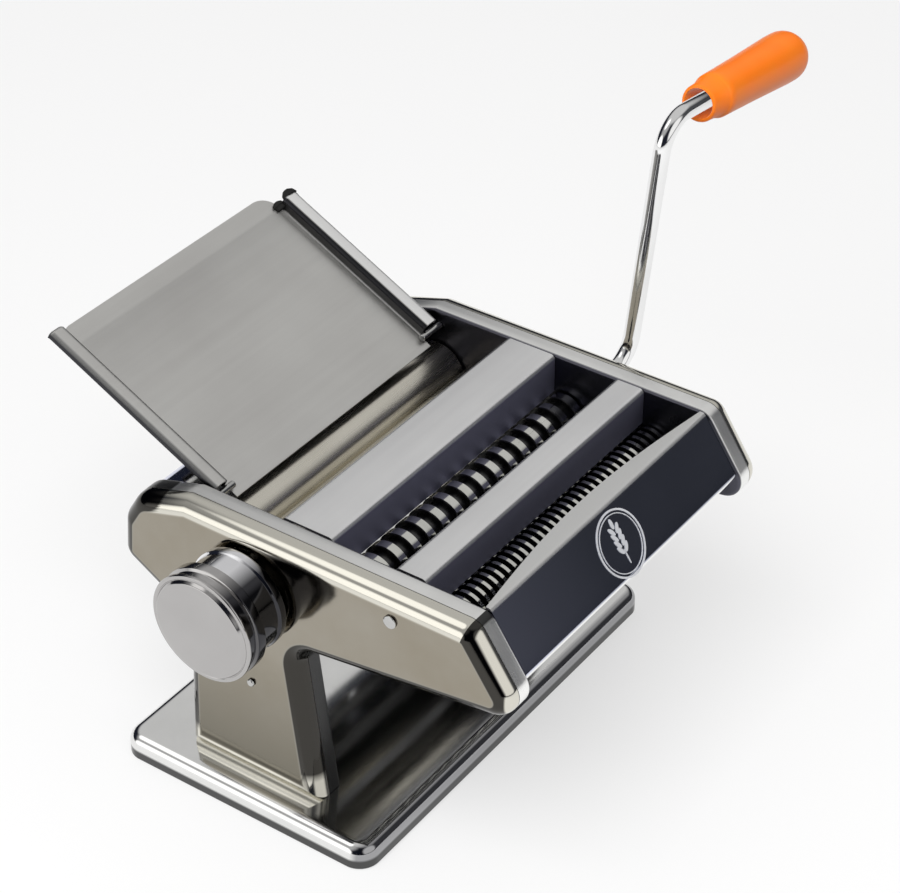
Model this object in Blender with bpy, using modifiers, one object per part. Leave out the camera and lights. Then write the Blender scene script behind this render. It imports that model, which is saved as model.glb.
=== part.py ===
import bpy
import bmesh
import math
from mathutils import Matrix, Vector

mm = 0.001

# Sheet metal and fits
sheet = 1.0 * mm
seat_gap = 0.3 * mm
hole_gap = 0.3 * mm
bend_radius = 1.5 * mm

# Rollers and cutters, all along X
roller_length = 149.4 * mm
smooth_radius = 14.0 * mm
nip_gap = 0.4 * mm
nip_travel = 2.6 * mm
cutter_radius = 9.6 * mm
cutter_core_radius = 7.2 * mm
cutter_overlap = 2.0 * mm
wide_ring_count = 16
narrow_ring_count = 36
ring_side_gap = 0.2 * mm
shaft_radius = 5.2 * mm
socket_radius = 3.4 * mm
socket_depth = 30.0 * mm

# Where the roller axes lie: y from the middle of the base, z from the table
smooth_axis_z = 105.5 * mm
front_roller_y = 0.0 * mm
cutter_axis_z = 108.5 * mm
wide_rear_y = -36.0 * mm
narrow_rear_y = -77.0 * mm

# Base plate and feet
base_width = 204.2 * mm
base_depth = 124.4 * mm
base_height = 11.0 * mm
base_bend = 5.5 * mm
base_corner = 9.0 * mm
base_corner_step = 22.0
foot_stand = 0.6 * mm
foot_radius = 8.0 * mm
foot_inset = 15.0 * mm
base_screw_radius = 1.5 * mm
base_screw_head = 3.0 * mm
base_screw_length = 4.0 * mm

# Side housings: a pressed inner plate and an outer casing on each side
plate_clearance = 0.5 * mm
flange_width = 7.2 * mm
casing_width = 7.8 * mm
casing_bend = 7.4 * mm
head_top = 134.6 * mm
head_front_y = -102.3 * mm
head_break_y = 30.5 * mm
front_lean = 0.68
head_rear_top = (55.0 * mm, 127.0 * mm)
head_rear_upper = (62.6 * mm, 114.5 * mm)
head_rear_lower = (64.3 * mm, 95.3 * mm)
leg_rear_top = (33.1 * mm, 76.5 * mm)
leg_rear_bottom_y = 35.8 * mm
leg_front_bottom_y = -30.4 * mm
leg_front_top = (-21.4 * mm, 85.3 * mm)
front_tip_z = 99.54 * mm
brow_corner = 8.0 * mm
rear_top_corner = 14.0 * mm
rear_upper_corner = 10.0 * mm
rear_lower_corner = 8.0 * mm
tip_corner = 9.0 * mm
arch_corner = 9.0 * mm
rivet_radius = 1.5 * mm
rivet_head = 2.8 * mm
casing_rivet = (-68.0 * mm, 123.5 * mm)
pointer_drop = 45.0 * mm
crank_hole_radius = 6.5 * mm

# Covers across the head
roller_strip = (-6.35 * mm, -30.4 * mm)
divider_strip = (-59.0 * mm, -73.1 * mm)
roller_lip = 6.0 * mm
slot_wall = 15.8 * mm
front_flange = 8.2 * mm
front_flange_end = 1.6 * mm
panel_recess = 1.0 * mm
panel_foot_z = 110.7 * mm
panel_return = 10.0 * mm
rear_cover_y = 43.0 * mm
rear_cover_end_y = 52.0 * mm

# Tie rods between the inner plates
tie_rod_radius = 3.0 * mm
tie_rod_neck = 2.0 * mm
tie_rods = (
    ("front", -109.0 * mm, 103.5 * mm),
    ("middle", -18.0 * mm, 84.0 * mm),
    ("rear", 55.0 * mm, 104.0 * mm),
)

# Gears, bushes, scrapers and combs
gear_width = 6.0 * mm
smooth_gear_teeth = 14
cutter_gear_teeth = 10
bush_wall = 2.0 * mm
bush_flange = 0.9 * mm
bush_flange_width = 1.3 * mm
blade_sheet = 0.8 * mm
scraper_gap = 0.5 * mm
scraper_reach = 50.0
scraper_length = 13.0 * mm
scraper_slant = 4.0 * mm
scraper_foot = 5.0 * mm
scraper_foot_drop = 1.0 * mm
comb_depth = 6.5 * mm
comb_finger = 8.4 * mm
finger_side_gap = 0.45 * mm

# Thickness knob on the left, on the front roller's axis
knob_radius = 23.4 * mm
knob_reach = 28.5 * mm
knob_cap_width = 11.5 * mm
knob_cap_web = 6.6 * mm
knob_rim_width = 2.8 * mm
knob_rim_dish = 1.3 * mm
knob_band_width = 4.3 * mm
knob_band_groove_radius = 22.0 * mm
knob_barrel_radius = 20.6 * mm
knob_skirt_radius = 21.6 * mm
knob_skirt_width = 3.6 * mm
knob_wall = 2.4 * mm
knob_gap = 2.4 * mm
pin_circle = 14.0 * mm
pin_radius = 1.5 * mm
hub_radius = 7.0 * mm
hub_head_radius = 11.0 * mm
hub_head_width = 1.2 * mm
spring_wire = 1.0 * mm
spring_turns = 3

# Crank: socket tang, shaft, arm and grip
rod_radius = 3.6 * mm
tang_radius = 3.1 * mm
tang_length = 26.0 * mm
shaft_reach = 33.5 * mm
arm_length = 115.5 * mm
arm_lean = 4.8
arm_flare = 2.5
grip_droop = 7.5
rod_bend = 13.0 * mm
grip_start = 25.5 * mm
grip_length = 84.0 * mm
grip_end_radius = 8.0 * mm
grip_waist_radius = 9.6 * mm
grip_radius = 11.2 * mm
grip_recess = 15.0 * mm
grip_recess_radius = 6.4 * mm
rod_end_cover = 22.0 * mm

# Feed tray: lower edge of its upper face, slope, and the folded hems at its sides
tray_half_width = 73.0 * mm
tray_length = 96.5 * mm
tray_sheet = 0.9 * mm
tray_low = (24.7 * mm, 124.0 * mm)
tray_slope = 27.0
tray_hem = 7.5 * mm
tray_hem_height = 6.0 * mm
tray_hem_lip = 1.6 * mm
tray_corner = 6.0 * mm
tray_pin_radius = 1.5 * mm
tray_pin_along = 4.5 * mm
tray_pin_reach = 13.0 * mm

# Values that follow from the sizes above
plate_x = roller_length / 2 + plate_clearance
rim_x = plate_x + flange_width
casing_x = rim_x + seat_gap + casing_width
span = plate_x - seat_gap
base_top = base_height + seat_gap
rear_roller_y = front_roller_y + 2 * smooth_radius + nip_gap
cutter_centres = 2 * cutter_radius - cutter_overlap
wide_front_y = wide_rear_y - cutter_centres
narrow_front_y = narrow_rear_y - cutter_centres
bush_radius = shaft_radius + hole_gap + bush_wall
gear_x = plate_x + sheet + bush_flange + 2 * seat_gap + 0.4 * mm
front_tip_y = head_front_y - front_lean * (head_top - front_tip_z)


def clear_scene():
    for item in list(bpy.data.objects):
        bpy.data.objects.remove(item, do_unlink=True)


def make_collection(name):
    collection = bpy.data.collections.new(name)
    bpy.context.scene.collection.children.link(collection)
    return collection


def make_material(name, colour, metallic, roughness):
    material = bpy.data.materials.new(name)
    material.use_nodes = True
    shader = material.node_tree.nodes["Principled BSDF"]
    shader.inputs["Base Color"].default_value = (*colour, 1.0)
    shader.inputs["Metallic"].default_value = metallic
    shader.inputs["Roughness"].default_value = roughness
    return material


clear_scene()
machine = make_collection("pasta_machine")
cutters = make_collection("cutters")

finishes = {
    "chrome": ((0.72, 0.72, 0.70), 1.0, 0.12),
    "satin_steel": ((0.66, 0.66, 0.67), 1.0, 0.38),
    "tray_steel": ((0.45, 0.45, 0.44), 1.0, 0.42),
    "mirror_panel": ((0.32, 0.33, 0.38), 1.0, 0.10),
    "roller_steel": ((0.70, 0.67, 0.60), 1.0, 0.22),
    "gear_steel": ((0.42, 0.42, 0.43), 1.0, 0.45),
    "nylon": ((0.78, 0.77, 0.72), 0.0, 0.55),
    "rubber": ((0.03, 0.03, 0.03), 0.0, 0.80),
    "spring_steel": ((0.50, 0.50, 0.52), 1.0, 0.30),
    "orange_plastic": ((0.90, 0.24, 0.02), 0.0, 0.28),
}


def finish(name, kind):
    colour, metallic, roughness = finishes[kind]
    return make_material(name, colour, metallic, roughness)


def place(name, mesh, kind, matrix, collection=None):
    item = bpy.data.objects.new(name, mesh)
    item.matrix_world = matrix
    (collection or machine).objects.link(item)
    if kind:
        mesh.materials.clear()
        mesh.materials.append(finish(name + "_finish", kind))
    return item


def frozen_mesh(item, name):
    bpy.context.view_layer.update()
    graph = bpy.context.evaluated_depsgraph_get()
    mesh = bpy.data.meshes.new_from_object(item.evaluated_get(graph))
    mesh.name = name
    return mesh


def weld(mesh):
    work = bmesh.new()
    work.from_mesh(mesh)
    bmesh.ops.remove_doubles(work, verts=work.verts, dist=0.01 * mm)
    bmesh.ops.recalc_face_normals(work, faces=work.faces)
    work.to_mesh(mesh)
    work.free()


def shade(mesh, angle=35.0):
    mesh.shade_smooth()
    mesh.set_sharp_from_angle(angle=math.radians(angle))


# Local X, Y, Z of an outline drawn in the plane across the rollers
across = Matrix(((0, 0, 1, 0), (1, 0, 0, 0), (0, 1, 0, 0), (0, 0, 0, 1)))
# Local Z of a turned piece laid along the rollers
along = Matrix(((0, 0, 1, 0), (0, 1, 0, 0), (-1, 0, 0, 0), (0, 0, 0, 1)))


def round_corner(before, corner, after, radius, step=18.0):
    # Points of a fillet between two straight runs that meet at a corner
    corner = Vector(corner)
    to_before = (Vector(before) - corner).normalized()
    to_after = (Vector(after) - corner).normalized()
    opening = to_before.angle(to_after)
    if radius <= 0 or opening > math.radians(179):
        return [corner]
    reach = radius / math.tan(opening / 2)
    centre = corner + (to_before + to_after).normalized() * (radius / math.sin(opening / 2))
    start = corner + to_before * reach - centre
    end = corner + to_after * reach - centre
    turn = math.pi - opening
    count = max(1, round(math.degrees(turn) / step))
    points = []
    for index in range(count + 1):
        part = index / count
        first = math.sin((1 - part) * turn) / math.sin(turn)
        second = math.sin(part * turn) / math.sin(turn)
        points.append(centre + start * first + end * second)
    return points


def round_loop(corners, step=18.0):
    points = []
    count = len(corners)
    for index, (y, z, radius) in enumerate(corners):
        before = corners[index - 1][:2]
        after = corners[(index + 1) % count][:2]
        points += round_corner(before, (y, z), after, radius, step)
    return [tuple(point) for point in points]


def round_path(corners, radius, step=30.0):
    points = [Vector(corners[0])]
    for before, corner, after in zip(corners, corners[1:], corners[2:]):
        points += round_corner(before, corner, after, radius, step)
    points.append(Vector(corners[-1]))
    return points


def offset_path(points, distance):
    # Moves an open path sideways, to the left of its direction
    moved = []
    for index, point in enumerate(points):
        normals = []
        for first, second in ((index - 1, index), (index, index + 1)):
            if first >= 0 and second < len(points):
                run = (Vector(points[second]) - Vector(points[first])).normalized()
                normals.append(Vector((-run.y, run.x)))
        mean = sum(normals, Vector((0, 0))).normalized()
        moved.append(Vector(point) + mean * (distance / mean.dot(normals[0])))
    return moved


def prism(name, points, low, high, kind, matrix=across, collection=None):
    # A flat outline given the thickness from low to high along its normal
    curve = bpy.data.curves.new(name, "CURVE")
    curve.dimensions = "2D"
    curve.fill_mode = "BOTH"
    curve.extrude = (high - low) / 2
    spline = curve.splines.new("POLY")
    spline.points.add(len(points) - 1)
    for spot, point in zip(spline.points, points):
        spot.co = (point[0], point[1], 0, 1)
    spline.use_cyclic_u = True
    drawn = bpy.data.objects.new(name + "_outline", curve)
    machine.objects.link(drawn)
    mesh = frozen_mesh(drawn, name)
    bpy.data.objects.remove(drawn, do_unlink=True)
    weld(mesh)
    work = bmesh.new()
    work.from_mesh(mesh)
    bmesh.ops.dissolve_limit(work, angle_limit=math.radians(1), verts=work.verts, edges=work.edges)
    work.to_mesh(mesh)
    work.free()
    mid = Matrix.Translation((0, 0, (low + high) / 2))
    item = place(name, mesh, kind, matrix @ mid, collection)
    shade(mesh)
    return item


def turned(name, outer, kind, at, steps=24, bore=None, matrix=along, collection=None):
    # outer runs from the +X end to the -X end as (x, radius); bore comes back from -X to +X
    if bore:
        profile = list(outer) + list(bore)
    else:
        profile = [(outer[0][0], 0.0)] + list(outer) + [(outer[-1][0], 0.0)]
    mesh = bpy.data.meshes.new(name)
    verts = [(radius, 0.0, x) for x, radius in profile]
    edges = [(index, index + 1) for index in range(len(profile) - 1)]
    if bore:
        edges.append((len(profile) - 1, 0))
    mesh.from_pydata(verts, edges, [])
    item = place(name, mesh, None, Matrix.Translation(at) @ matrix, collection)
    screw = item.modifiers.new("turn", "SCREW")
    screw.angle = math.tau
    screw.steps = steps
    screw.render_steps = steps
    screw.use_merge_vertices = True
    screw.merge_threshold = 0.00001
    solid = frozen_mesh(item, name)
    item.modifiers.clear()
    item.data = solid
    bpy.data.meshes.remove(mesh)
    weld(solid)
    if kind:
        solid.materials.clear()
        solid.materials.append(finish(name + "_finish", kind))
    shade(solid)
    return item


def cut(item, cutter):
    cutter.hide_render = True
    cutter.display_type = "WIRE"
    step = item.modifiers.new(cutter.name, "BOOLEAN")
    step.operation = "DIFFERENCE"
    step.object = cutter


def join(item, other):
    step = item.modifiers.new(other.name, "BOOLEAN")
    step.operation = "UNION"
    step.object = other
    mesh = frozen_mesh(item, item.name)
    item.modifiers.clear()
    item.data = mesh
    bpy.data.objects.remove(other, do_unlink=True)
    shade(mesh)


def drill(item, name, centre, radius, low, high, steps=12):
    # A round hole along X through item, between two x values
    rod = turned(name, ((high, radius), (low, radius)), None, (0, *centre), steps, collection=cutters)
    cut(item, rod)


def slot_hole(item, name, centre, radius, travel, low, high):
    # A hole along X, drawn out by travel towards -Y
    points = []
    for index in range(20):
        angle = math.tau * index / 20 + math.tau / 40
        shift = -travel if math.cos(angle) < 0 else 0.0
        y = centre[0] + radius * math.cos(angle) + shift
        points.append((y, centre[1] + radius * math.sin(angle)))
    cut(item, prism(name, points, low, high, None, across, cutters))


def bent_sheet(name, path, half_width, kind, thickness=sheet, middle=0.0, matrix=None):
    # A sheet bent along path in the YZ plane and run along X; path is the middle of its thickness
    work = bmesh.new()
    verts = [work.verts.new((middle - half_width, point[0], point[1])) for point in path]
    edges = [work.edges.new(pair) for pair in zip(verts, verts[1:])]
    grown = bmesh.ops.extrude_edge_only(work, edges=edges)["geom"]
    moved = [part for part in grown if isinstance(part, bmesh.types.BMVert)]
    bmesh.ops.translate(work, verts=moved, vec=(2 * half_width, 0, 0))
    bmesh.ops.recalc_face_normals(work, faces=work.faces)
    mesh = bpy.data.meshes.new(name)
    work.to_mesh(mesh)
    work.free()
    item = place(name, mesh, kind, matrix or Matrix())
    shade(mesh)
    thick = item.modifiers.new("sheet", "SOLIDIFY")
    thick.thickness = thickness
    thick.offset = 0.0
    thick.use_even_offset = True
    return item


def pressed_pan(name, outline, face_x, open_x, bend, segments, kind):
    # A pan with its flat face at face_x, bent all round, with its mouth at open_x
    low, high = sorted((face_x, open_x))
    item = prism(name, outline, low, high, kind)
    middle = (low + high) / 2
    work = bmesh.new()
    work.from_mesh(item.data)
    side = face_x - middle
    flats = [face for face in work.faces if abs(face.normal.z) > 0.9]
    lid = [face for face in flats if face.calc_center_median().z * side < 0]
    rim = [face for face in flats if face.calc_center_median().z * side > 0]
    edges = {edge for face in rim for edge in face.edges}
    bmesh.ops.bevel(work, geom=list(edges), offset=bend, segments=segments, profile=0.5,
                    affect="EDGES", clamp_overlap=True)
    bmesh.ops.delete(work, geom=[face for face in lid if face.is_valid], context="FACES_ONLY")
    work.to_mesh(item.data)
    work.free()
    shade(item.data, 50.0)
    wall = item.modifiers.new("sheet", "SOLIDIFY")
    wall.thickness = sheet
    wall.offset = -1.0
    wall.use_even_offset = True
    return item


head_outline = round_loop((
    (head_front_y, head_top, brow_corner),
    (head_break_y, head_top, 0),
    (*head_rear_top, rear_top_corner),
    (*head_rear_upper, rear_upper_corner),
    (*head_rear_lower, rear_lower_corner),
    (*leg_rear_top, arch_corner),
    (leg_rear_bottom_y, base_top, 0),
    (leg_front_bottom_y, base_top, 0),
    (*leg_front_top, arch_corner),
    (front_tip_y, front_tip_z, tip_corner),
))


def build_base():
    half_x = base_width / 2
    half_y = base_depth / 2
    loop = round_loop(((-half_x, -half_y, base_corner), (half_x, -half_y, base_corner),
                       (half_x, half_y, base_corner), (-half_x, half_y, base_corner)), base_corner_step)
    plate = prism("base_plate", loop, foot_stand, base_height, "chrome", Matrix())
    work = bmesh.new()
    work.from_mesh(plate.data)
    top = [face for face in work.faces if face.normal.z > 0.9]
    bottom = [face for face in work.faces if face.normal.z < -0.9]
    edges = {edge for face in top for edge in face.edges}
    bmesh.ops.bevel(work, geom=list(edges), offset=base_bend, segments=3, profile=0.5, affect="EDGES")
    bmesh.ops.delete(work, geom=[face for face in bottom if face.is_valid], context="FACES_ONLY")
    work.to_mesh(plate.data)
    work.free()
    shade(plate.data, 50.0)
    wall = plate.modifiers.new("sheet", "SOLIDIFY")
    wall.thickness = sheet
    wall.offset = -1.0
    wall.use_even_offset = True
    upright = Matrix()
    foot_top = base_height - sheet - seat_gap
    for side, across_name in ((-1, "left"), (1, "right")):
        for end, along_name in ((-1, "front"), (1, "rear")):
            spot = (side * (half_x - foot_inset), end * (half_y - foot_inset), 0)
            turned("foot_%s_%s" % (along_name, across_name),
                   ((foot_top, foot_radius), (1.0 * mm, foot_radius), (0, foot_radius - 1.0 * mm)),
                   "rubber", spot, 12, matrix=upright)
    return plate


def fit_base_screws(plate, pans):
    upright = Matrix()
    y = (leg_front_bottom_y + leg_rear_bottom_y) / 2
    head_high = base_height - sheet - seat_gap
    head_low = head_high - 1.6 * mm
    for side, side_name in ((-1, "left"), (1, "right")):
        x = side * (rim_x - flange_width / 2)
        radius = base_screw_radius + hole_gap
        hole = turned("screw_hole_" + side_name, ((base_top + 2 * sheet, radius), (head_low, radius)),
                      None, (x, y, 0), 8, matrix=upright, collection=cutters)
        cut(plate, hole)
        cut(pans[side], hole)
        turned("base_screw_" + side_name,
               ((head_high + base_screw_length, base_screw_radius), (head_high, base_screw_radius),
                (head_high, base_screw_head), (head_low, base_screw_head - 0.6 * mm)),
               "gear_steel", (x, y, 0), 8, matrix=upright)


# Each shaft line: name, y, z, drives a crank socket
shaft_lines = (
    ("smooth_front", front_roller_y, smooth_axis_z, False),
    ("smooth_rear", rear_roller_y, smooth_axis_z, True),
    ("wide_rear", wide_rear_y, cutter_axis_z, True),
    ("wide_front", wide_front_y, cutter_axis_z, False),
    ("narrow_rear", narrow_rear_y, cutter_axis_z, True),
    ("narrow_front", narrow_front_y, cutter_axis_z, False),
)


def build_side_plates():
    pans = {}
    for side, side_name in ((-1, "left"), (1, "right")):
        name = side_name + "_side_plate"
        pan = pressed_pan(name, head_outline, side * plate_x, side * rim_x, bend_radius, 2, "satin_steel")
        low, high = sorted((side * (plate_x - 1 * mm), side * (plate_x + sheet + 1 * mm)))
        for line, y, z, driven in shaft_lines:
            hole = "%s_hole_%s" % (side_name, line)
            radius = bush_radius + hole_gap
            if line == "smooth_front":
                slot_hole(pan, hole, (y, z), radius, nip_travel, low, high)
            else:
                drill(pan, hole, (y, z), radius, low, high)
        for rod, y, z in tie_rods:
            drill(pan, "%s_rod_hole_%s" % (side_name, rod), (y, z), tie_rod_neck + hole_gap, low, high, 8)
        drill(pan, side_name + "_rivet_seat", casing_rivet, rivet_radius + hole_gap, low, high, 8)
        pans[side] = pan
    return pans


def build_casings():
    for side, side_name in ((-1, "left"), (1, "right")):
        mouth = side * (rim_x + seat_gap)
        casing = pressed_pan(side_name + "_casing", head_outline, side * casing_x, mouth, casing_bend, 3,
                             "chrome")
        low, high = sorted((side * (casing_x - 2 * sheet), side * (casing_x + 1 * mm)))
        drill(casing, side_name + "_rivet_hole", casing_rivet, rivet_radius + hole_gap, low, high, 8)
        build_rivet(side, side_name)
        if side < 0:
            drill(casing, "knob_hole", (front_roller_y, smooth_axis_z), hub_radius + 2 * hole_gap,
                  low, high, 20)
            build_pointer(casing, low, high)
        else:
            for line, y, z, driven in shaft_lines:
                if driven:
                    drill(casing, "crank_hole_" + line, (y, z), crank_hole_radius, low, high)


def build_rivet(side, side_name):
    dome = side * (casing_x + 1.2 * mm)
    head_out = side * (casing_x + 0.9 * mm)
    head_in = side * (casing_x + 0.2 * mm)
    tail = side * (plate_x + 0.2 * mm)
    profile = ((dome, rivet_head - 1.2 * mm), (head_out, rivet_head), (head_in, rivet_head),
               (head_in, rivet_radius), (tail, rivet_radius))
    if side < 0:
        profile = profile[::-1]
    turned(side_name + "_casing_rivet", profile, "chrome", (0, *casing_rivet), 8)


def build_pointer(casing, low, high):
    spot = (front_roller_y, smooth_axis_z - pointer_drop)
    drill(casing, "pointer_hole", spot, 1.2 * mm + hole_gap, low, high, 12)
    face = -casing_x
    profile = ((face + sheet + 0.8 * mm, 1.2 * mm), (face - seat_gap, 1.2 * mm),
               (face - seat_gap, 1.8 * mm), (face - seat_gap - 1.0 * mm, 1.4 * mm))
    turned("setting_pointer", profile, "chrome", (0, *spot), 12)


def build_tie_rods():
    for rod, y, z in tie_rods:
        neck_in = span
        head_in = plate_x + sheet + seat_gap
        head_out = head_in + 1.0 * mm
        half = ((head_out, tie_rod_neck + 1.0 * mm), (head_in, tie_rod_neck + 1.0 * mm),
                (head_in, tie_rod_neck), (neck_in, tie_rod_neck), (neck_in, tie_rod_radius))
        profile = list(half) + [(-x, radius) for x, radius in half[::-1]]
        turned("tie_rod_" + rod, profile, "gear_steel", (0, y, z), 8)


def build_bushes():
    for side, side_name in ((-1, "left"), (1, "right")):
        for line, y, z, driven in shaft_lines:
            inner = side * plate_x
            shoulder = side * (plate_x + sheet + seat_gap)
            outer = side * (plate_x + sheet + seat_gap + bush_flange)
            rim = bush_radius + bush_flange_width - 0.3 * mm
            ring = [(outer, rim), (shoulder, rim), (shoulder, bush_radius), (inner, bush_radius)]
            bore = [(inner, shaft_radius + hole_gap), (outer, shaft_radius + hole_gap)]
            if side < 0:
                ring = ring[::-1]
                bore = bore[::-1]
            turned("%s_bush_%s" % (side_name, line), ring, "nylon", (0, y, z), 12, bore)


def shaft_ends(driven):
    left = -(plate_x + sheet + bush_flange + seat_gap + 1.0 * mm)
    right = casing_x - 0.6 * mm if driven else gear_x + gear_width + 0.6 * mm
    return left, right


def build_roller(name, y, z, radius, driven, rings=0, shift=0.0, steps=24):
    left, right = shaft_ends(driven)
    half = roller_length / 2
    body = []
    if rings:
        pitch = roller_length / rings
        width = pitch / 2 - ring_side_gap
        for index in range(rings):
            start = half - (index + shift) * pitch - ring_side_gap / 2
            body += [(start, cutter_core_radius), (start, radius), (start - width, radius),
                     (start - width, cutter_core_radius)]
        body = [(half, cutter_core_radius)] + body + [(-half, cutter_core_radius)]
        body = [spot for index, spot in enumerate(body) if index == 0 or spot != body[index - 1]]
    else:
        body = [(half, radius - 0.6 * mm), (half - 0.6 * mm, radius), (-half + 0.6 * mm, radius),
                (-half, radius - 0.6 * mm)]
    outer = [(right, shaft_radius), (half, shaft_radius)] + body
    outer += [(-half, shaft_radius), (left, shaft_radius)]
    if driven:
        floor = right - socket_depth
        outer = [(floor, socket_radius), (right, socket_radius)] + outer
    return turned(name, outer, "roller_steel", (0, y, z), steps)


def gear_outline(teeth, pitch_radius, addendum, dedendum, phase):
    # Trapezoid teeth with their flanks eased for backlash
    points = []
    pitch = math.tau / teeth
    for index in range(teeth):
        middle = phase + index * pitch
        for radius, half in ((pitch_radius - dedendum, 0.30), (pitch_radius + addendum, 0.105)):
            if half == 0.30:
                points.append((middle - half * pitch, radius))
            else:
                points.append((middle - half * pitch, radius))
                points.append((middle + half * pitch, radius))
                points.append((middle + 0.30 * pitch, pitch_radius - dedendum))
    return [(radius * math.cos(angle), radius * math.sin(angle)) for angle, radius in points]


def build_gear(name, y, z, teeth, pitch_radius, addendum, dedendum, phase):
    loop = gear_outline(teeth, pitch_radius, addendum, dedendum, phase)
    seat = Matrix.Translation((0, y, z)) @ across
    gear = prism(name, loop, gear_x, gear_x + gear_width, "gear_steel", seat)
    radius = shaft_radius + hole_gap
    ends = ((gear_x + gear_width + 1 * mm, radius), (gear_x - 1 * mm, radius))
    bore = turned(name + "_bore", ends, None, (0, y, z), 16, collection=cutters)
    cut(gear, bore)
    return gear


def build_rollers():
    build_roller("front_roller", front_roller_y, smooth_axis_z, smooth_radius, False, steps=28)
    build_roller("rear_roller", rear_roller_y, smooth_axis_z, smooth_radius, True, steps=28)
    build_roller("wide_cutter_rear", wide_rear_y, cutter_axis_z, cutter_radius, True,
                 wide_ring_count, 0.0, 10)
    build_roller("wide_cutter_front", wide_front_y, cutter_axis_z, cutter_radius, False,
                 wide_ring_count, 0.5, 10)
    build_roller("narrow_cutter_rear", narrow_rear_y, cutter_axis_z, cutter_radius, True,
                 narrow_ring_count, 0.0, 8)
    build_roller("narrow_cutter_front", narrow_front_y, cutter_axis_z, cutter_radius, False,
                 narrow_ring_count, 0.5, 8)


def build_gears():
    # Long teeth on the smooth rollers' gears stay in mesh while the nip opens
    radius = (rear_roller_y - front_roller_y) / 2
    half_tooth = math.pi / smooth_gear_teeth
    build_gear("front_roller_gear", front_roller_y, smooth_axis_z, smooth_gear_teeth, radius,
               1.7 * mm, 2.3 * mm, 0.0)
    build_gear("rear_roller_gear", rear_roller_y, smooth_axis_z, smooth_gear_teeth, radius,
               1.7 * mm, 2.3 * mm, half_tooth)
    radius = cutter_centres / 2
    half_tooth = math.pi / cutter_gear_teeth
    for name, y, phase in (("wide_rear_gear", wide_rear_y, half_tooth),
                           ("wide_front_gear", wide_front_y, 0.0),
                           ("narrow_rear_gear", narrow_rear_y, half_tooth),
                           ("narrow_front_gear", narrow_front_y, 0.0)):
        build_gear(name, y, cutter_axis_z, cutter_gear_teeth, radius, 1.3 * mm, 1.7 * mm, phase)


def build_scrapers():
    reach = math.radians(scraper_reach)
    gap = smooth_radius + scraper_gap + blade_sheet / 2
    for name, y, side in (("front_scraper", front_roller_y, 1), ("rear_scraper", rear_roller_y, -1)):
        top = (y + side * gap * math.cos(reach), smooth_axis_z - gap * math.sin(reach))
        bottom = (top[0] - side * scraper_slant, top[1] - scraper_length)
        foot = (bottom[0] - side * scraper_foot, bottom[1] - scraper_foot_drop)
        bent_sheet(name, (top, bottom, foot), span, "satin_steel", blade_sheet)


def build_comb(name, roller_y, rings, shift, side):
    # Flat comb under a cutter; side is +1 where its back lies to the rear of the roller
    pitch = roller_length / rings
    groove = pitch / 2 + ring_side_gap
    finger = groove - 2 * finger_side_gap
    root = roller_y + side * (cutter_radius - cutter_core_radius + 2.6 * mm)
    tip = root - side * comb_finger
    back = root + side * comb_depth
    half = roller_length / 2
    points = [(-span, back), (-span, root)]
    for index in range(rings - 1, -1, -1):
        ring_end = half - (index + shift) * pitch - ring_side_gap / 2 - (pitch / 2 - ring_side_gap)
        middle = ring_end - groove / 2
        low, high = middle - finger / 2, middle + finger / 2
        if low < -half:
            continue
        points += [(low, root), (low, tip), (high, tip), (high, root)]
    points += [(span, root), (span, back)]
    if side > 0:
        points = points[::-1]
    height = cutter_axis_z - (cutter_radius + cutter_core_radius) / 2 - 0.2 * mm
    return prism(name, points, height - blade_sheet / 2, height + blade_sheet / 2, "satin_steel", Matrix())


def build_combs():
    build_comb("wide_comb_rear", wide_rear_y, wide_ring_count, 0.0, 1)
    build_comb("wide_comb_front", wide_front_y, wide_ring_count, 0.5, -1)
    build_comb("narrow_comb_rear", narrow_rear_y, narrow_ring_count, 0.0, 1)
    build_comb("narrow_comb_front", narrow_front_y, narrow_ring_count, 0.5, -1)


def build_covers():
    top = head_top - sheet / 2
    rear, front = roller_strip
    path = round_path(((rear - sheet / 2, top - roller_lip), (rear - sheet / 2, top),
                       (front + sheet / 2, top), (front + sheet / 2, top - slot_wall)), bend_radius)
    bent_sheet("roller_cover", path, span, "satin_steel")
    rear, front = divider_strip
    path = round_path(((rear - sheet / 2, top - slot_wall), (rear - sheet / 2, top),
                       (front + sheet / 2, top), (front + sheet / 2, top - slot_wall)), bend_radius)
    bent_sheet("divider_cover", path, span, "satin_steel")
    build_front_cover(top)
    build_rear_cover()


def build_front_cover(top):
    # The panel lies just inside the head's sloping front and turns back along its underside
    tip = Vector((front_tip_y, front_tip_z))
    slope = (Vector((head_front_y, head_top)) - tip).normalized()
    under = (Vector(leg_front_top) - tip).normalized()
    start = tip + Vector((slope.y, -slope.x)) * (panel_recess + sheet / 2)
    upper = start + slope * ((top - start.y) / slope.y)
    lower = start + slope * ((panel_foot_z - start.y) / slope.y)
    end = lower + under * panel_return
    path = round_path(((upper.x + front_flange, top), upper, lower, end), bend_radius)
    cover = bent_sheet("front_cover", path, span, "mirror_panel")
    bow = []
    inner = upper.x + front_flange
    narrow = upper.x + front_flange_end
    for index in range(13):
        part = index / 6 - 1
        depth = (front_flange - front_flange_end) * math.cos(part * math.pi / 2)
        bow.append((part * (span + 2 * mm), narrow + depth))
    bow += [(span + 2 * mm, inner + 4 * mm), (-span - 2 * mm, inner + 4 * mm)]
    cut(cover, prism("flange_bow", bow, head_top - 4 * mm, head_top + 2 * mm, None, Matrix(), cutters))


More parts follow.
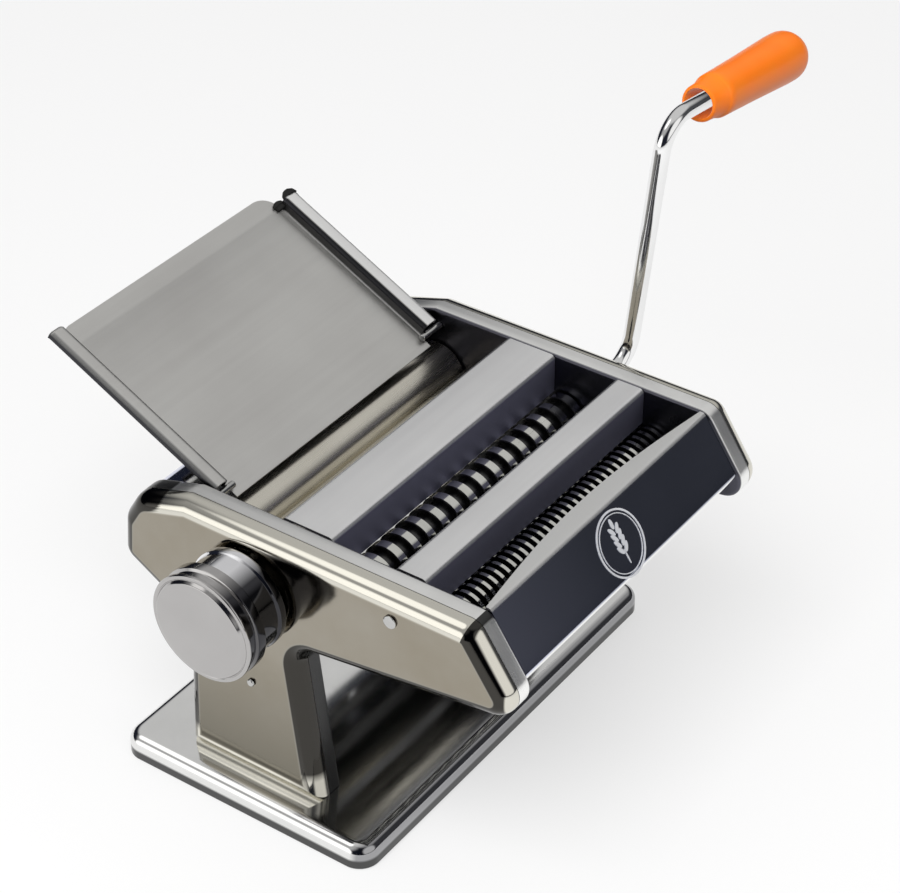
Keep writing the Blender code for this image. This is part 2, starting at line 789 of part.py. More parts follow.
def build_rear_cover():
    slope = (head_rear_top[1] - head_top) / (head_rear_top[0] - head_break_y)
    start = (rear_cover_y, head_top + slope * (rear_cover_y - head_break_y))
    under = (head_rear_lower[1] - leg_rear_top[1]) / (head_rear_lower[0] - leg_rear_top[0])
    end = (rear_cover_end_y, head_rear_lower[1] - under * (head_rear_lower[0] - rear_cover_end_y))
    outer = (start, head_rear_top, head_rear_upper, head_rear_lower, end)
    path = offset_path(outer, -(sheet / 2 + panel_recess))
    # The lip reaches up under the tray
    tray_back = math.radians(tray_slope)
    rise = (path[0].x - sheet / 2 - tray_low[0]) * math.tan(tray_back)
    lip = (path[0].x, tray_low[1] + rise - tray_sheet / math.cos(tray_back) - seat_gap)
    corners = [lip] + [tuple(point) for point in path]
    bent_sheet("rear_cover", round_path(corners, 1.4 * mm), span, "satin_steel")


def build_knob():
    face = -(casing_x + knob_reach)
    rear = -(casing_x + knob_gap)
    spot = (0, front_roller_y, smooth_axis_z)
    web = face + knob_cap_web
    cap_rear = face + knob_cap_width
    boss = web + 2.0 * mm
    inner = knob_barrel_radius - knob_wall
    collar = knob_barrel_radius + seat_gap
    groove_rear = cap_rear - knob_band_width
    groove_front = face + knob_rim_width
    soft = 0.7 * mm
    # The cap is the polished disc with a rolled rim and a second band; its boss closes the knob's sleeve
    cap = ((boss, inner - seat_gap), (web, inner - seat_gap), (web, collar), (cap_rear, collar),
           (cap_rear, knob_radius - soft), (cap_rear - soft, knob_radius), (groove_rear, knob_radius),
           (groove_rear - soft, knob_band_groove_radius), (groove_front + soft, knob_band_groove_radius),
           (groove_front, knob_radius), (face + 2 * soft, knob_radius),
           (face + soft / 2, knob_radius - soft), (face, knob_radius - 3 * soft),
           (face, knob_radius - 4.5 * soft),
           (face + knob_rim_dish, knob_radius - 6.5 * soft))
    turned("knob_cap", cap, "chrome", spot, 28)
    sleeve_front = web + seat_gap
    web_rear = rear - 1.0 * mm
    web_front = web_rear - 2.0 * mm
    bore = hub_radius + hole_gap
    skirt_front = rear - knob_skirt_width
    sleeve = ((rear, knob_skirt_radius - soft), (rear - soft, knob_skirt_radius),
              (skirt_front, knob_skirt_radius), (skirt_front - soft, knob_barrel_radius),
              (sleeve_front, knob_barrel_radius))
    inside = ((sleeve_front, inner), (web_front, inner), (web_front, bore), (web_rear, bore),
              (web_rear, inner), (rear, inner))
    turned("knob_sleeve", sleeve, "chrome", spot, 28, inside)
    pin_spot = (0, front_roller_y, smooth_axis_z + pin_circle)
    pin = turned("index_pin", ((-(casing_x + seat_gap), pin_radius), (web_rear - 1.0 * mm, pin_radius)),
                 None, pin_spot, 12)
    join(bpy.data.objects["knob_sleeve"], pin)
    head_out = boss + seat_gap
    head_in = head_out + hub_head_width
    hub = ((-(gear_x + 1.1 * mm), hub_radius), (head_in, hub_radius), (head_in, hub_head_radius),
           (head_out, hub_head_radius))
    turned("dial_hub", hub, "gear_steel", spot, 20)
    rest = seat_gap + spring_wire / 2
    build_spring(spot, head_in + rest, web_front - rest)


def build_spring(spot, start, end):
    # Compression spring round the hub; the wire ends run straight for one wire width
    radius = hub_radius + 1.4 * mm + spring_wire / 2
    per_turn = 10
    count = per_turn * spring_turns
    pitch = (end - start) / spring_turns
    print("spring gap between turns, mm:", round((pitch - spring_wire) / mm, 3))
    path = []
    for index in range(count + 1):
        angle = math.tau * index / per_turn
        x = start + (end - start) * index / count
        path.append(Vector((x, radius * math.cos(angle), radius * math.sin(angle))))
    first = Vector((0, 0, -spring_wire))
    path = [path[0] + first] + path + [path[-1] - first]
    curve = bpy.data.curves.new("knob_spring", "CURVE")
    curve.dimensions = "3D"
    curve.bevel_depth = spring_wire / 2
    curve.bevel_resolution = 1
    curve.use_fill_caps = True
    spline = curve.splines.new("POLY")
    spline.points.add(len(path) - 1)
    for spot_on, point in zip(spline.points, path):
        spot_on.co = (*point, 1)
    drawn = bpy.data.objects.new("spring_path", curve)
    machine.objects.link(drawn)
    mesh = frozen_mesh(drawn, "knob_spring")
    bpy.data.objects.remove(drawn, do_unlink=True)
    weld(mesh)
    place("knob_spring", mesh, "spring_steel", Matrix.Translation(spot))
    shade(mesh, 60.0)


def crank_points():
    # Corner of shaft and arm, corner of arm and grip, and the two directions
    lean = math.radians(arm_lean)
    flare = math.radians(arm_flare)
    droop = math.radians(grip_droop)
    up = Vector((0, -math.sin(lean), math.cos(lean)))
    right = Vector((1, 0, 0))
    low = Vector((casing_x + shaft_reach, 0, 0))
    high = low + (up * math.cos(flare) + right * math.sin(flare)) * arm_length
    grip_way = right * math.cos(droop) - up * math.sin(droop)
    return low, high, grip_way


def build_crank():
    spot = Vector((0, wide_rear_y, cutter_axis_z))
    low, high, grip_way = crank_points()
    shoulder = shaft_ends(True)[1] + seat_gap
    tip = shoulder - tang_length
    rod_end = high + grip_way * (grip_start + grip_length - rod_end_cover)
    route = [(Vector((tip, 0, 0)), tang_radius), (Vector((shoulder, 0, 0)), tang_radius),
             (Vector((shoulder + 0.4 * mm, 0, 0)), rod_radius)]
    for before, corner, after in ((Vector((shoulder, 0, 0)), low, high), (low, high, rod_end)):
        for point in round_corner(before, corner, after, rod_bend):
            route.append((point, rod_radius))
    route.append((rod_end, rod_radius))
    curve = bpy.data.curves.new("crank_rod", "CURVE")
    curve.dimensions = "3D"
    curve.bevel_depth = rod_radius
    curve.bevel_resolution = 2
    curve.use_fill_caps = True
    spline = curve.splines.new("POLY")
    spline.points.add(len(route) - 1)
    for place_on, (point, radius) in zip(spline.points, route):
        place_on.co = (*point, 1)
        place_on.radius = radius / rod_radius
    drawn = bpy.data.objects.new("rod_path", curve)
    machine.objects.link(drawn)
    mesh = frozen_mesh(drawn, "crank_rod")
    bpy.data.objects.remove(drawn, do_unlink=True)
    weld(mesh)
    place("crank_rod", mesh, "chrome", Matrix.Translation(spot))
    shade(mesh, 50.0)
    build_grip(spot + high + grip_way * grip_start, grip_way)


def build_grip(spot, way):
    # The grip is turned about the rod's end; its mouth faces the arm and is hollow
    end = grip_length
    bore = rod_radius + hole_gap
    dome = []
    for index in range(5):
        angle = math.radians(20 + 17.5 * index)
        dome.append((end - grip_radius + grip_radius * math.cos(math.pi / 2 - angle),
                     grip_radius * math.sin(math.pi / 2 - angle)))
    dome = dome[::-1]
    outer = dome + [(end - grip_radius - 6.0 * mm, grip_radius),
                    (end * 0.45, grip_waist_radius + 0.6 * mm),
                    (12.5 * mm, grip_waist_radius), (11.0 * mm, grip_end_radius + 0.5 * mm),
                    (1.0 * mm, grip_end_radius), (0, grip_end_radius - 0.6 * mm)]
    floor = end - rod_end_cover + 1.5 * mm
    inside = [(0, grip_recess_radius), (grip_recess, grip_recess_radius), (grip_recess, bore),
              (floor, bore)]
    profile = outer + inside
    turn = Vector((0, 0, 1)).rotation_difference(way).to_matrix().to_4x4()
    turned("grip", profile, "orange_plastic", spot, 20, matrix=turn)


def tray_point(along_slope, above):
    # y and z of a point so far up the tray's upper face and so far above it
    slope = math.radians(tray_slope)
    return (tray_low[0] + along_slope * math.cos(slope) - above * math.sin(slope),
            tray_low[1] + along_slope * math.sin(slope) + above * math.cos(slope))


def build_tray():
    # In the tray's own frame X runs across, Y up the slope, Z out of the sheet's upper face
    frame = Matrix.Translation((0, *tray_low)) @ Matrix.Rotation(math.radians(tray_slope), 4, "X")
    middle = -tray_sheet / 2
    fold = tray_half_width - tray_hem
    outside = tray_half_width - tray_sheet / 2
    top = tray_hem_height - tray_sheet / 2
    start = tray_pin_along + tray_pin_radius + seat_gap
    # Each column: x, z, where it starts and how far short of the top edge it ends
    half = ((0, middle, 0, 0), (fold - tray_corner, middle, 0, 0),
            (fold - 0.4 * tray_corner, middle, 0, 0.15 * tray_corner),
            (fold, middle, 0, 0.8 * tray_corner), (fold, top, start, 0.2 * tray_corner),
            (outside, top, start, 0.3 * tray_corner),
            (outside, top - tray_hem_lip, start, 0.6 * tray_corner))
    columns = [(-x, z, low, short) for x, z, low, short in half[:0:-1]] + list(half)
    work = bmesh.new()
    rows = []
    for x, z, low, short in columns:
        heights = (0, start, tray_length - short) if low == 0 else (start, tray_length - short)
        rows.append([work.verts.new((x, y, z)) for y in heights])
    for left, right in zip(rows, rows[1:]):
        left, right = (side[-min(len(left), len(right)):] for side in (left, right))
        for index in range(len(left) - 1):
            work.faces.new((left[index], right[index], right[index + 1], left[index + 1]))
    bmesh.ops.recalc_face_normals(work, faces=work.faces)
    mesh = bpy.data.meshes.new("feed_tray")
    work.to_mesh(mesh)
    work.free()
    tray = place("feed_tray", mesh, "tray_steel", frame)
    shade(mesh)
    thick = tray.modifiers.new("sheet", "SOLIDIFY")
    thick.thickness = tray_sheet
    thick.offset = 0.0
    thick.use_even_offset = True


def build_tray_pins(pans):
    # A pin on each inner plate holds the tray's lower edge down and stops its hems
    spot = tray_point(tray_pin_along, tray_pin_radius + seat_gap)
    for side, side_name in ((-1, "left"), (1, "right")):
        low, high = sorted((side * (plate_x - 1 * mm), side * (plate_x + 2 * sheet)))
        drill(pans[side], side_name + "_pin_hole", spot, tray_pin_radius + hole_gap, low, high, 8)
        head_in = side * (plate_x + sheet + seat_gap)
        head_out = head_in + side * 1.0 * mm
        tip = side * (plate_x - tray_pin_reach)
        profile = ((head_out, tray_pin_radius + 1.0 * mm), (head_in, tray_pin_radius + 1.0 * mm),
                   (head_in, tray_pin_radius), (tip, tray_pin_radius))
        if side < 0:
            profile = profile[::-1]
        turned("tray_pin_" + side_name, profile, "satin_steel", (0, *spot), 8)


base_plate = build_base()
side_plates = build_side_plates()
fit_base_screws(base_plate, side_plates)
build_casings()
build_tie_rods()
build_bushes()
build_rollers()
build_gears()
build_scrapers()
build_combs()
build_covers()
build_knob()
build_crank()
build_tray()
build_tray_pins(side_plates)
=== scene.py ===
import math

import bmesh
import bpy
from mathutils import Matrix, Vector


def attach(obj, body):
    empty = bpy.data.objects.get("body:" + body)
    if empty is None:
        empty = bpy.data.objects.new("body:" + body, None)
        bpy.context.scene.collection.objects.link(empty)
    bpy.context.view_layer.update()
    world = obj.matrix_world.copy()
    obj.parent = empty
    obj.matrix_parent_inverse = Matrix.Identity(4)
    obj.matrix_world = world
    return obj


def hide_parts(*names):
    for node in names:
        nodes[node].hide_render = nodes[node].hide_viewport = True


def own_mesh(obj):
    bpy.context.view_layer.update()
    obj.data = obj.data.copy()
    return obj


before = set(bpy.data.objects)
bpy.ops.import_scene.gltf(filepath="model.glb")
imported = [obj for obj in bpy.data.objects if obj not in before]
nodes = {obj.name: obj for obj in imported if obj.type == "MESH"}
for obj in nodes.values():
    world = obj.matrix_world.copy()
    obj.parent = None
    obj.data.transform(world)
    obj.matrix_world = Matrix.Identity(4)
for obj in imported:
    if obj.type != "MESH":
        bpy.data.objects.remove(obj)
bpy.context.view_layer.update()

mm = 0.001

# X runs along the rollers, Y to the rear; outlines are drawn in the side view as (y, z)
alongRollers = Matrix(((0, 0, 1, 0), (0, 1, 0, 0), (-1, 0, 0, 0), (0, 0, 0, 1)))
upright = Matrix()
quarters = ((-1, -1), (1, -1), (1, 1), (-1, 1))  # ways to the four corners of a flat piece


def inMm(profile):
    # For outlines whose numbers are in mm
    return [[value * mm for value in corner] for corner in profile]


def addNode(tree, kind, inputs, **settings):
    # Each input is a socket or a plain value
    node = tree.nodes.new("ShaderNode" + kind)
    for key, value in settings.items():
        setattr(node, key, value)
    for key, value in inputs.items():
        if isinstance(value, bpy.types.NodeSocket):
            tree.links.new(value, node.inputs[key])
        else:
            node.inputs[key].default_value = value
    return node


def combine(tree, operation, first, second):
    return addNode(tree, "Math", {0: first, 1: second}, operation=operation).outputs[0]


def addRange(tree, value, low, high, fromLow=0.3, fromHigh=0.7):
    ends = {"Value": value, "From Min": fromLow, "From Max": fromHigh, "To Min": low, "To Max": high}
    return addNode(tree, "MapRange", ends).outputs["Result"]


def addNoise(tree, where, scale, stretch=(1, 1, 1), detail=3.0, rough=0.5):
    place = addNode(tree, "Mapping", {"Vector": where, "Scale": stretch}).outputs["Vector"]
    grains = {"Vector": place, "Scale": scale, "Detail": detail, "Roughness": rough}
    return addNode(tree, "TexNoise", grains).outputs["Fac"]


def addBlend(tree, factor, first, second):
    # first is a socket or a colour
    start = (*first, 1) if isinstance(first, tuple) else first
    colours = {"Factor": factor, "A": start, "B": (*second, 1)}
    return addNode(tree, "Mix", colours, data_type="RGBA").outputs["Result"]


def addBump(tree, height, strength, distance, under=None):
    bump = addNode(tree, "Bump", {"Height": height, "Strength": strength, "Distance": distance})
    if under:
        tree.links.new(under, bump.inputs["Normal"])
    return bump.outputs["Normal"]


def partOf(tree, source, axis):
    # One coordinate of a place or of a surface's direction; an a before the axis drops its sign
    coordinates = addNode(tree, "TexCoord", {})
    split = addNode(tree, "SeparateXYZ", {0: coordinates.outputs[source]})
    value = split.outputs[axis[-1]]
    return combine(tree, "ABSOLUTE", value, 0.0) if axis[0] == "a" else value


def zoneOf(*ranges):
    # Each range gives what is read, its axis, where the zone is 0 and where it is 1; places are in mm
    def mask(tree):
        share = None
        for source, axis, none, full in ranges:
            size = mm if source == "Object" else 1.0
            low, high = (0.0, 1.0) if none < full else (1.0, 0.0)
            ends = sorted((none * size, full * size))
            part = addRange(tree, partOf(tree, source, axis), low, high, *ends)
            share = combine(tree, "MULTIPLY", share, part) if share else part
        return share
    return mask


def eitherOf(first, second):
    return lambda tree: combine(tree, "MAXIMUM", first(tree), second(tree))


def layZones(tree, colour, zones):
    # Lays each zone's colour over the ones before it
    for mask, zoneColour in zones:
        colour = addBlend(tree, mask(tree), colour, zoneColour)
    return colour


casingRimHighlight = zoneOf(("Object", "aX", 90.47, 90.34))  # the casings' rounding, inside their flat faces, painted lighter than the faces as a highlight
# painted shade: the casings darker towards the feet of their legs
lowLegShade = zoneOf(("Object", "Z", 80, 20))
# painted shade on the base's bend where it faces the front
baseFrontShade = zoneOf(("Normal", "Y", -0.15, -0.45))
# painted shadow along the base's lowest edge, where it meets the floor
baseEdgeShadow = zoneOf(("Object", "Z", 5.2, 4.0))
# painted light on the left part of the covers
panelLeftLight = zoneOf(("Object", "X", -15, -75))
panelFootHighlight = zoneOf(("Object", "Z", 115, 112), ("Normal", "Z", 0.40, 0.10))  # the front cover's lower bend, painted as a highlight
# the covers' flat top: painted light, and a rougher finish
onTop = zoneOf(("Object", "Z", 133.0, 133.8))
belowTop = zoneOf(("Object", "Z", 133.6, 132.8))  # what lies under the flat top of the covers; the strips get painted shade there
innerSideShade = zoneOf(("Object", "aX", 76.4, 75.8))  # the side plates' inner faces, in painted shade
knobShade = zoneOf(("Normal", "Y", -0.20, -0.55), ("Object", "aX", 117.2, 116.6))  # round side to the front
# painted shade on the left hem where it faces left, over a lamp's highlight
hemLeftShade = zoneOf(("Object", "X", -65.5, -66.0), ("Normal", "X", -0.20, -0.50))
# a painted highlight on the top of the right hem
hemRightHighlight = zoneOf(("Object", "X", 66.2, 66.8), ("Normal", "X", 0.60, 0.30))
hemInside = zoneOf(("Object", "aX", 64.8, 65.1), ("Object", "aX", 66.6, 66.1))
hemWallShade = eitherOf(hemInside, zoneOf(("Object", "aX", 72.4, 72.9)))  # painted shade along the hems' folds, with the foot of the outer walls


def underShade(tree):
    # Rims that look down, to the rear or to the front, save the sloping front of the head
    tiltShare = addRange(tree, partOf(tree, "Object", "X"), -4.0, -0.9, -10 * mm, 10 * mm)
    tilt = combine(tree, "MULTIPLY", partOf(tree, "Normal", "aY"), tiltShare)
    up = addRange(tree, combine(tree, "ADD", partOf(tree, "Normal", "Z"), tilt), 0.0, 1.0, -0.06, -0.02)
    front = zoneOf(("Normal", "Y", -0.62, -0.70), ("Object", "Z", 92, 98))(tree)
    return combine(tree, "SUBTRACT", 1.0, combine(tree, "MAXIMUM", up, front))


def casingShade(tree):
    # Not at the legs' lower edge, which mirrors the base
    rim = zoneOf(("Object", "aX", 90.47, 90.34), ("Object", "Z", 20, 24))(tree)
    return combine(tree, "MULTIPLY", rim, underShade(tree))


def startFinish(name):
    material = bpy.data.materials.new(name)
    material.use_nodes = True
    tree = material.node_tree
    where = tree.nodes.new("ShaderNodeTexCoord").outputs["Object"]
    return material, tree, tree.nodes["Principled BSDF"], where


def wireFinish(tree, shader, look, uneven, gloss, normal):
    # Both colours of the look with its zones over them, the roughness and the bumps
    colour = addBlend(tree, uneven, look["colour"], look["shade"])
    rough = addRange(tree, gloss, *look["roughness"])
    for socket, value, zones in (("Base Color", colour, "zones"), ("Roughness", rough, "roughZones")):
        tree.links.new(layZones(tree, value, look.get(zones, ())), shader.inputs[socket])
    tree.links.new(normal, shader.inputs["Normal"])


def pressedChrome(name, look):
    # Polished sheet: slow waves from the press, faint rubbing marks, patches of dulled polish
    polish = {"patches": 22.0, "marks": 420.0, "waves": 16.0, "markStrength": 0.03,
              "waveDepth": 1.2 * mm, "markDepth": 0.05 * mm}
    material, tree, shader, where = startFinish(name)
    shader.inputs["Metallic"].default_value = 1.0
    patches = addNoise(tree, where, polish["patches"], detail=4.0, rough=0.6)
    marks = addNoise(tree, where, polish["marks"], (1, 0.12, 1), detail=2.0)
    waves = addNoise(tree, where, polish["waves"], detail=1.0)
    pressed = addBump(tree, waves, look["waves"], polish["waveDepth"])
    rubbed = addBump(tree, marks, polish["markStrength"], polish["markDepth"], pressed)
    wireFinish(tree, shader, look, addRange(tree, patches, 0.0, 1.0), patches, rubbed)
    return material


def brushedSteel(name, look):
    # Sheet with a brushed grain along one way, light and dark streaks in its colour
    brush = {"grain": 900.0, "streaks": 240.0, "clouds": 18.0, "waves": 14.0,
             "waveDepth": 1.0 * mm, "grainDepth": 0.04 * mm}
    material, tree, shader, where = startFinish(name)
    shader.inputs["Metallic"].default_value = 1.0
    grain = addNoise(tree, where, brush["grain"], look["grain"], detail=3.0, rough=0.7)
    clouds = addRange(tree, addNoise(tree, where, brush["clouds"], detail=3.0), 0.0, 0.5)
    streaks = addNoise(tree, where, brush["streaks"], look["grain"], detail=2.0)
    uneven = combine(tree, "ADD", combine(tree, "MULTIPLY", streaks, 0.5), clouds)
    waves = addNoise(tree, where, brush["waves"], detail=1.0)
    rolled = addBump(tree, waves, look.get("waves", 0.15), brush["waveDepth"])
    brushed = addBump(tree, grain, look.get("marks", 0.10), brush["grainDepth"], rolled)
    wireFinish(tree, shader, look, addRange(tree, uneven, 0.0, 1.0, 0.2, 0.8), grain, brushed)
    return material


def mouldedPlastic(name, look):
    # Injection moulded plastic: a little uneven in colour and gloss, with fine orange peel
    mould = {"clouds": 60.0, "peel": 900.0, "peelDepth": 0.08 * mm, "coatRoughness": 0.12}
    material, tree, shader, where = startFinish(name)
    clouds = addNoise(tree, where, mould["clouds"], detail=3.0)
    peel = addNoise(tree, where, mould["peel"], detail=2.0)
    peeled = addBump(tree, peel, look.get("peel", 0.06), mould["peelDepth"])
    wireFinish(tree, shader, look, addRange(tree, clouds, 0.0, 1.0), clouds, peeled)
    shader.inputs["Coat Weight"].default_value = look.get("coat", 0.0)
    shader.inputs["Coat Roughness"].default_value = mould["coatRoughness"]
    shader.inputs["Specular IOR Level"].default_value = look.get("specular", 0.5)
    return material


looks = {
    "casing": (pressedChrome, "casing_chrome_finish", {
        "colour": (0.30, 0.27, 0.215), "shade": (0.345, 0.32, 0.27), "roughness": (0.07, 0.13), "waves": 0.30,
        # painted shade low on the legs and where the rounding looks down, to the rear or to the front; a
        # painted highlight on the rest of the rounding
        "zones": ((lowLegShade, (0.19, 0.175, 0.14)), (casingRimHighlight, (0.68, 0.66, 0.59)),
                  (casingShade, (0.055, 0.052, 0.047)))}),
    "base": (pressedChrome, "base_chrome_finish", {
        "colour": (0.86, 0.86, 0.85), "shade": (0.76, 0.76, 0.75), "roughness": (0.07, 0.13), "waves": 0.22,
        # painted shade on the front bend, a painted shadow along the lowest edge
        "zones": ((baseFrontShade, (0.36, 0.36, 0.37)), (baseEdgeShadow, (0.09, 0.09, 0.09)))}),
    "panel": (pressedChrome, "front_panel_finish", {
        "colour": (0.36, 0.38, 0.46), "shade": (0.30, 0.32, 0.39), "roughness": (0.07, 0.12), "waves": 0.15,
        # painted light on the left, painted highlights on the front cover's lower bend and on its top, which
        # is rougher too
        "zones": ((panelLeftLight, (0.66, 0.68, 0.82)), (panelFootHighlight, (0.92, 0.92, 0.91)),
                  (onTop, (0.80, 0.80, 0.79))),
        "roughZones": ((onTop, (0.42, 0.42, 0.42)),)}),
    "plate": (pressedChrome, "side_plate_finish", {
        "colour": (0.96, 0.96, 0.945), "shade": (0.88, 0.88, 0.865), "roughness": (0.26, 0.34), "waves": 0.15,
        # painted shade on rims that look down, to the rear or to the front, and on the inner faces
        "zones": ((underShade, (0.06, 0.06, 0.06)), (innerSideShade, (0.09, 0.09, 0.11)))}),
    "knob": (pressedChrome, "knob_finish", {
        "colour": (0.47, 0.46, 0.455), "shade": (0.43, 0.42, 0.415), "roughness": (0.09, 0.15), "waves": 0.06,
        "zones": ((knobShade, (0.045, 0.045, 0.05)),)}),
    "sleeve": (pressedChrome, "knob_sleeve_finish", {
        "colour": (0.88, 0.88, 0.90), "shade": (0.78, 0.78, 0.80), "roughness": (0.05, 0.09), "waves": 0.05,
        "zones": ((knobShade, (0.05, 0.05, 0.055)),)}),
    "crank": (pressedChrome, "crank_finish", {
        "colour": (0.90, 0.90, 0.90), "shade": (0.80, 0.80, 0.80), "roughness": (0.08, 0.14), "waves": 0.05}),
    "fixing": (pressedChrome, "fixing_finish", {
        "colour": (0.56, 0.56, 0.55), "shade": (0.46, 0.46, 0.45), "roughness": (0.12, 0.2), "waves": 0.03}),
    "strip": (brushedSteel, "cover_strip_finish", {
        "colour": (0.92, 0.92, 0.92), "shade": (0.82, 0.82, 0.825), "roughness": (0.28, 0.36),
        # painted shade on the walls under the flat top, which are rougher too
        "grain": (0.03, 1, 1), "zones": ((belowTop, (0.30, 0.30, 0.41)),),
        "roughZones": ((belowTop, (0.62, 0.62, 0.62)),)}),
    "tray": (brushedSteel, "tray_finish", {
        "colour": (0.70, 0.695, 0.672), "shade": (0.62, 0.61, 0.59), "roughness": (0.34, 0.44),
        # painted shade on the left hem, along the folds and at the outer walls; a painted highlight on the
        # right hem
        "grain": (0.03, 1, 1), "zones": ((hemLeftShade, (0.42, 0.42, 0.41)), (hemRightHighlight, (1.0, 1.0, 0.99)),
                                         (hemWallShade, (0.05, 0.05, 0.055)))}),
    "roller": (brushedSteel, "smooth_roller_finish", {
        "colour": (0.76, 0.73, 0.65), "shade": (0.64, 0.61, 0.53), "roughness": (0.20, 0.30),
        "grain": (0.02, 1, 1), "marks": 0.015, "waves": 0.04}),
    "cutter": (brushedSteel, "cutter_finish", {
        "colour": (0.80, 0.80, 0.76), "shade": (0.62, 0.62, 0.58), "roughness": (0.09, 0.15),
        "grain": (1, 0.05, 0.05)}),
    "gear": (brushedSteel, "gear_finish", {
        "colour": (0.42, 0.42, 0.43), "shade": (0.30, 0.30, 0.31), "roughness": (0.35, 0.5),
        "grain": (1, 0.2, 0.2)}),
    "blade": (brushedSteel, "scraper_finish", {
        "colour": (0.09, 0.09, 0.09), "shade": (0.06, 0.06, 0.06), "roughness": (0.25, 0.35),
        "grain": (0.04, 1, 1)}),
    "spring": (brushedSteel, "spring_finish", {
        "colour": (0.50, 0.50, 0.52), "shade": (0.38, 0.38, 0.40), "roughness": (0.25, 0.35),
        "grain": (1, 1, 1)}),
    "grip": (mouldedPlastic, "grip_finish", {
        "colour": (1.0, 0.20, 0.008), "shade": (0.98, 0.23, 0.015), "roughness": (0.32, 0.42),
        "coat": 0.04, "specular": 0.32}),
    "badge": (mouldedPlastic, "badge_finish", {
        "colour": (0.62, 0.63, 0.66), "shade": (0.52, 0.53, 0.56), "roughness": (0.35, 0.45), "peel": 0.04}),
    "bush": (mouldedPlastic, "bush_finish", {
        "colour": (0.78, 0.77, 0.72), "shade": (0.72, 0.70, 0.64), "roughness": (0.45, 0.6)}),
    "rubber": (mouldedPlastic, "foot_rubber_finish", {
        "colour": (0.010, 0.010, 0.010), "shade": (0.018, 0.018, 0.017), "roughness": (0.7, 0.85),
        "peel": 0.3, "specular": 0.2}),
}
finishes = {key: makeFinish(name, look) for key, (makeFinish, name, look) in looks.items()}
print("finishes made:", len(finishes))


def toMesh(name, work, recalculate=True):
    if recalculate:
        bmesh.ops.recalc_face_normals(work, faces=work.faces)
    mesh = bpy.data.meshes.new(name)
    work.to_mesh(mesh)
    work.free()
    return mesh


def smoothMesh(mesh, smoothTo):
    mesh.shade_smooth()
    mesh.set_sharp_from_angle(angle=math.radians(smoothTo))


def addPiece(name, mesh, finish, body, replaced, matrix=None, smoothTo=40.0):
    piece = bpy.data.objects.new(name, mesh)
    bpy.context.scene.collection.objects.link(piece)
    mesh.transform(matrix or Matrix())
    mesh.materials.clear()
    mesh.materials.append(finishes[finish])
    smoothMesh(mesh, smoothTo)
    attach(piece, body)
    if replaced:
        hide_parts(*replaced)
    return piece


def addThickness(piece, thickness, offset):
    thick = piece.modifiers.new("sheet", "SOLIDIFY")
    thick.thickness = thickness
    thick.offset = offset
    thick.use_even_offset = True


def applyModifiers(piece, smoothTo=40.0):
    bpy.context.view_layer.update()
    graph = bpy.context.evaluated_depsgraph_get()
    piece.data = bpy.data.meshes.new_from_object(piece.evaluated_get(graph))
    piece.modifiers.clear()
    smoothMesh(piece.data, smoothTo)


def roundCorner(before, corner, after, radius, step):
    # Points of a fillet between two straight runs
    corner = Vector(corner)
    toBefore = (Vector(before) - corner).normalized()
    toAfter = (Vector(after) - corner).normalized()
    opening = toBefore.angle(toAfter)
    if radius <= 0 or opening > math.radians(179):
        return [corner]
    reach = radius / math.tan(opening / 2)
    centre = corner + (toBefore + toAfter).normalized() * (radius / math.sin(opening / 2))
    start = corner + toBefore * reach - centre
    end = corner + toAfter * reach - centre
    turn = math.pi - opening
    count = max(1, round(math.degrees(turn) / step))
    points = []
    for index in range(count + 1):
        part = index / count
        first = math.sin((1 - part) * turn) / math.sin(turn)
        second = math.sin(part * turn) / math.sin(turn)
        points.append(centre + start * first + end * second)
    return points


def roundLoop(corners, step=6.0):
    points = []
    for index, (y, z, radius) in enumerate(corners):
        before = corners[index - 1][:2]
        after = corners[(index + 1) % len(corners)][:2]
        points += roundCorner(before, (y, z), after, radius, step)
    return points


def roundPath(corners, radius, step=12.0):
    # radius is one value, or one for each inner corner
    points = [Vector(corners[0])]
    for index, (before, corner, after) in enumerate(zip(corners, corners[1:], corners[2:])):
        size = radius[index] if isinstance(radius, (list, tuple)) else radius
        points += roundCorner(before, corner, after, size, step)
    points.append(Vector(corners[-1]))
    return points


def offsetLoop(points, distance, closed=True):
    # Moves an outline to the left of its direction
    moved = []
    count = len(points)
    for index, point in enumerate(points):
        normals = []
        for first, second in ((index - 1, index), (index, index + 1)):
            if not closed and (first < 0 or second >= count):
                continue
            run = (Vector(points[second % count]) - Vector(points[first % count])).normalized()
            normals.append(Vector((-run.y, run.x)))
        mean = sum(normals, Vector((0, 0))).normalized()
        moved.append(Vector(point) + mean * (distance / max(0.3, mean.dot(normals[0]))))
    return moved


def edgeBend(radius, segments):
    # Steps of a quarter round edge: how far each lies below the top and in from the side
    angles = [math.radians(90) * index / segments for index in range(segments + 1)]
    return [(radius * (1 - math.sin(angle)), radius * (1 - math.cos(angle))) for angle in angles]


def joinRings(work, rings):
    for first, second in zip(rings, rings[1:]):
        count = len(first)
        for k in range(count):
            following = (k + 1) % count
            work.faces.new((first[k], first[following], second[following], second[k]))


def joinColumns(work, left, right, start=0):
    for index in range(start, len(left) - 1):
        work.faces.new((left[index], right[index], right[index + 1], left[index + 1]))


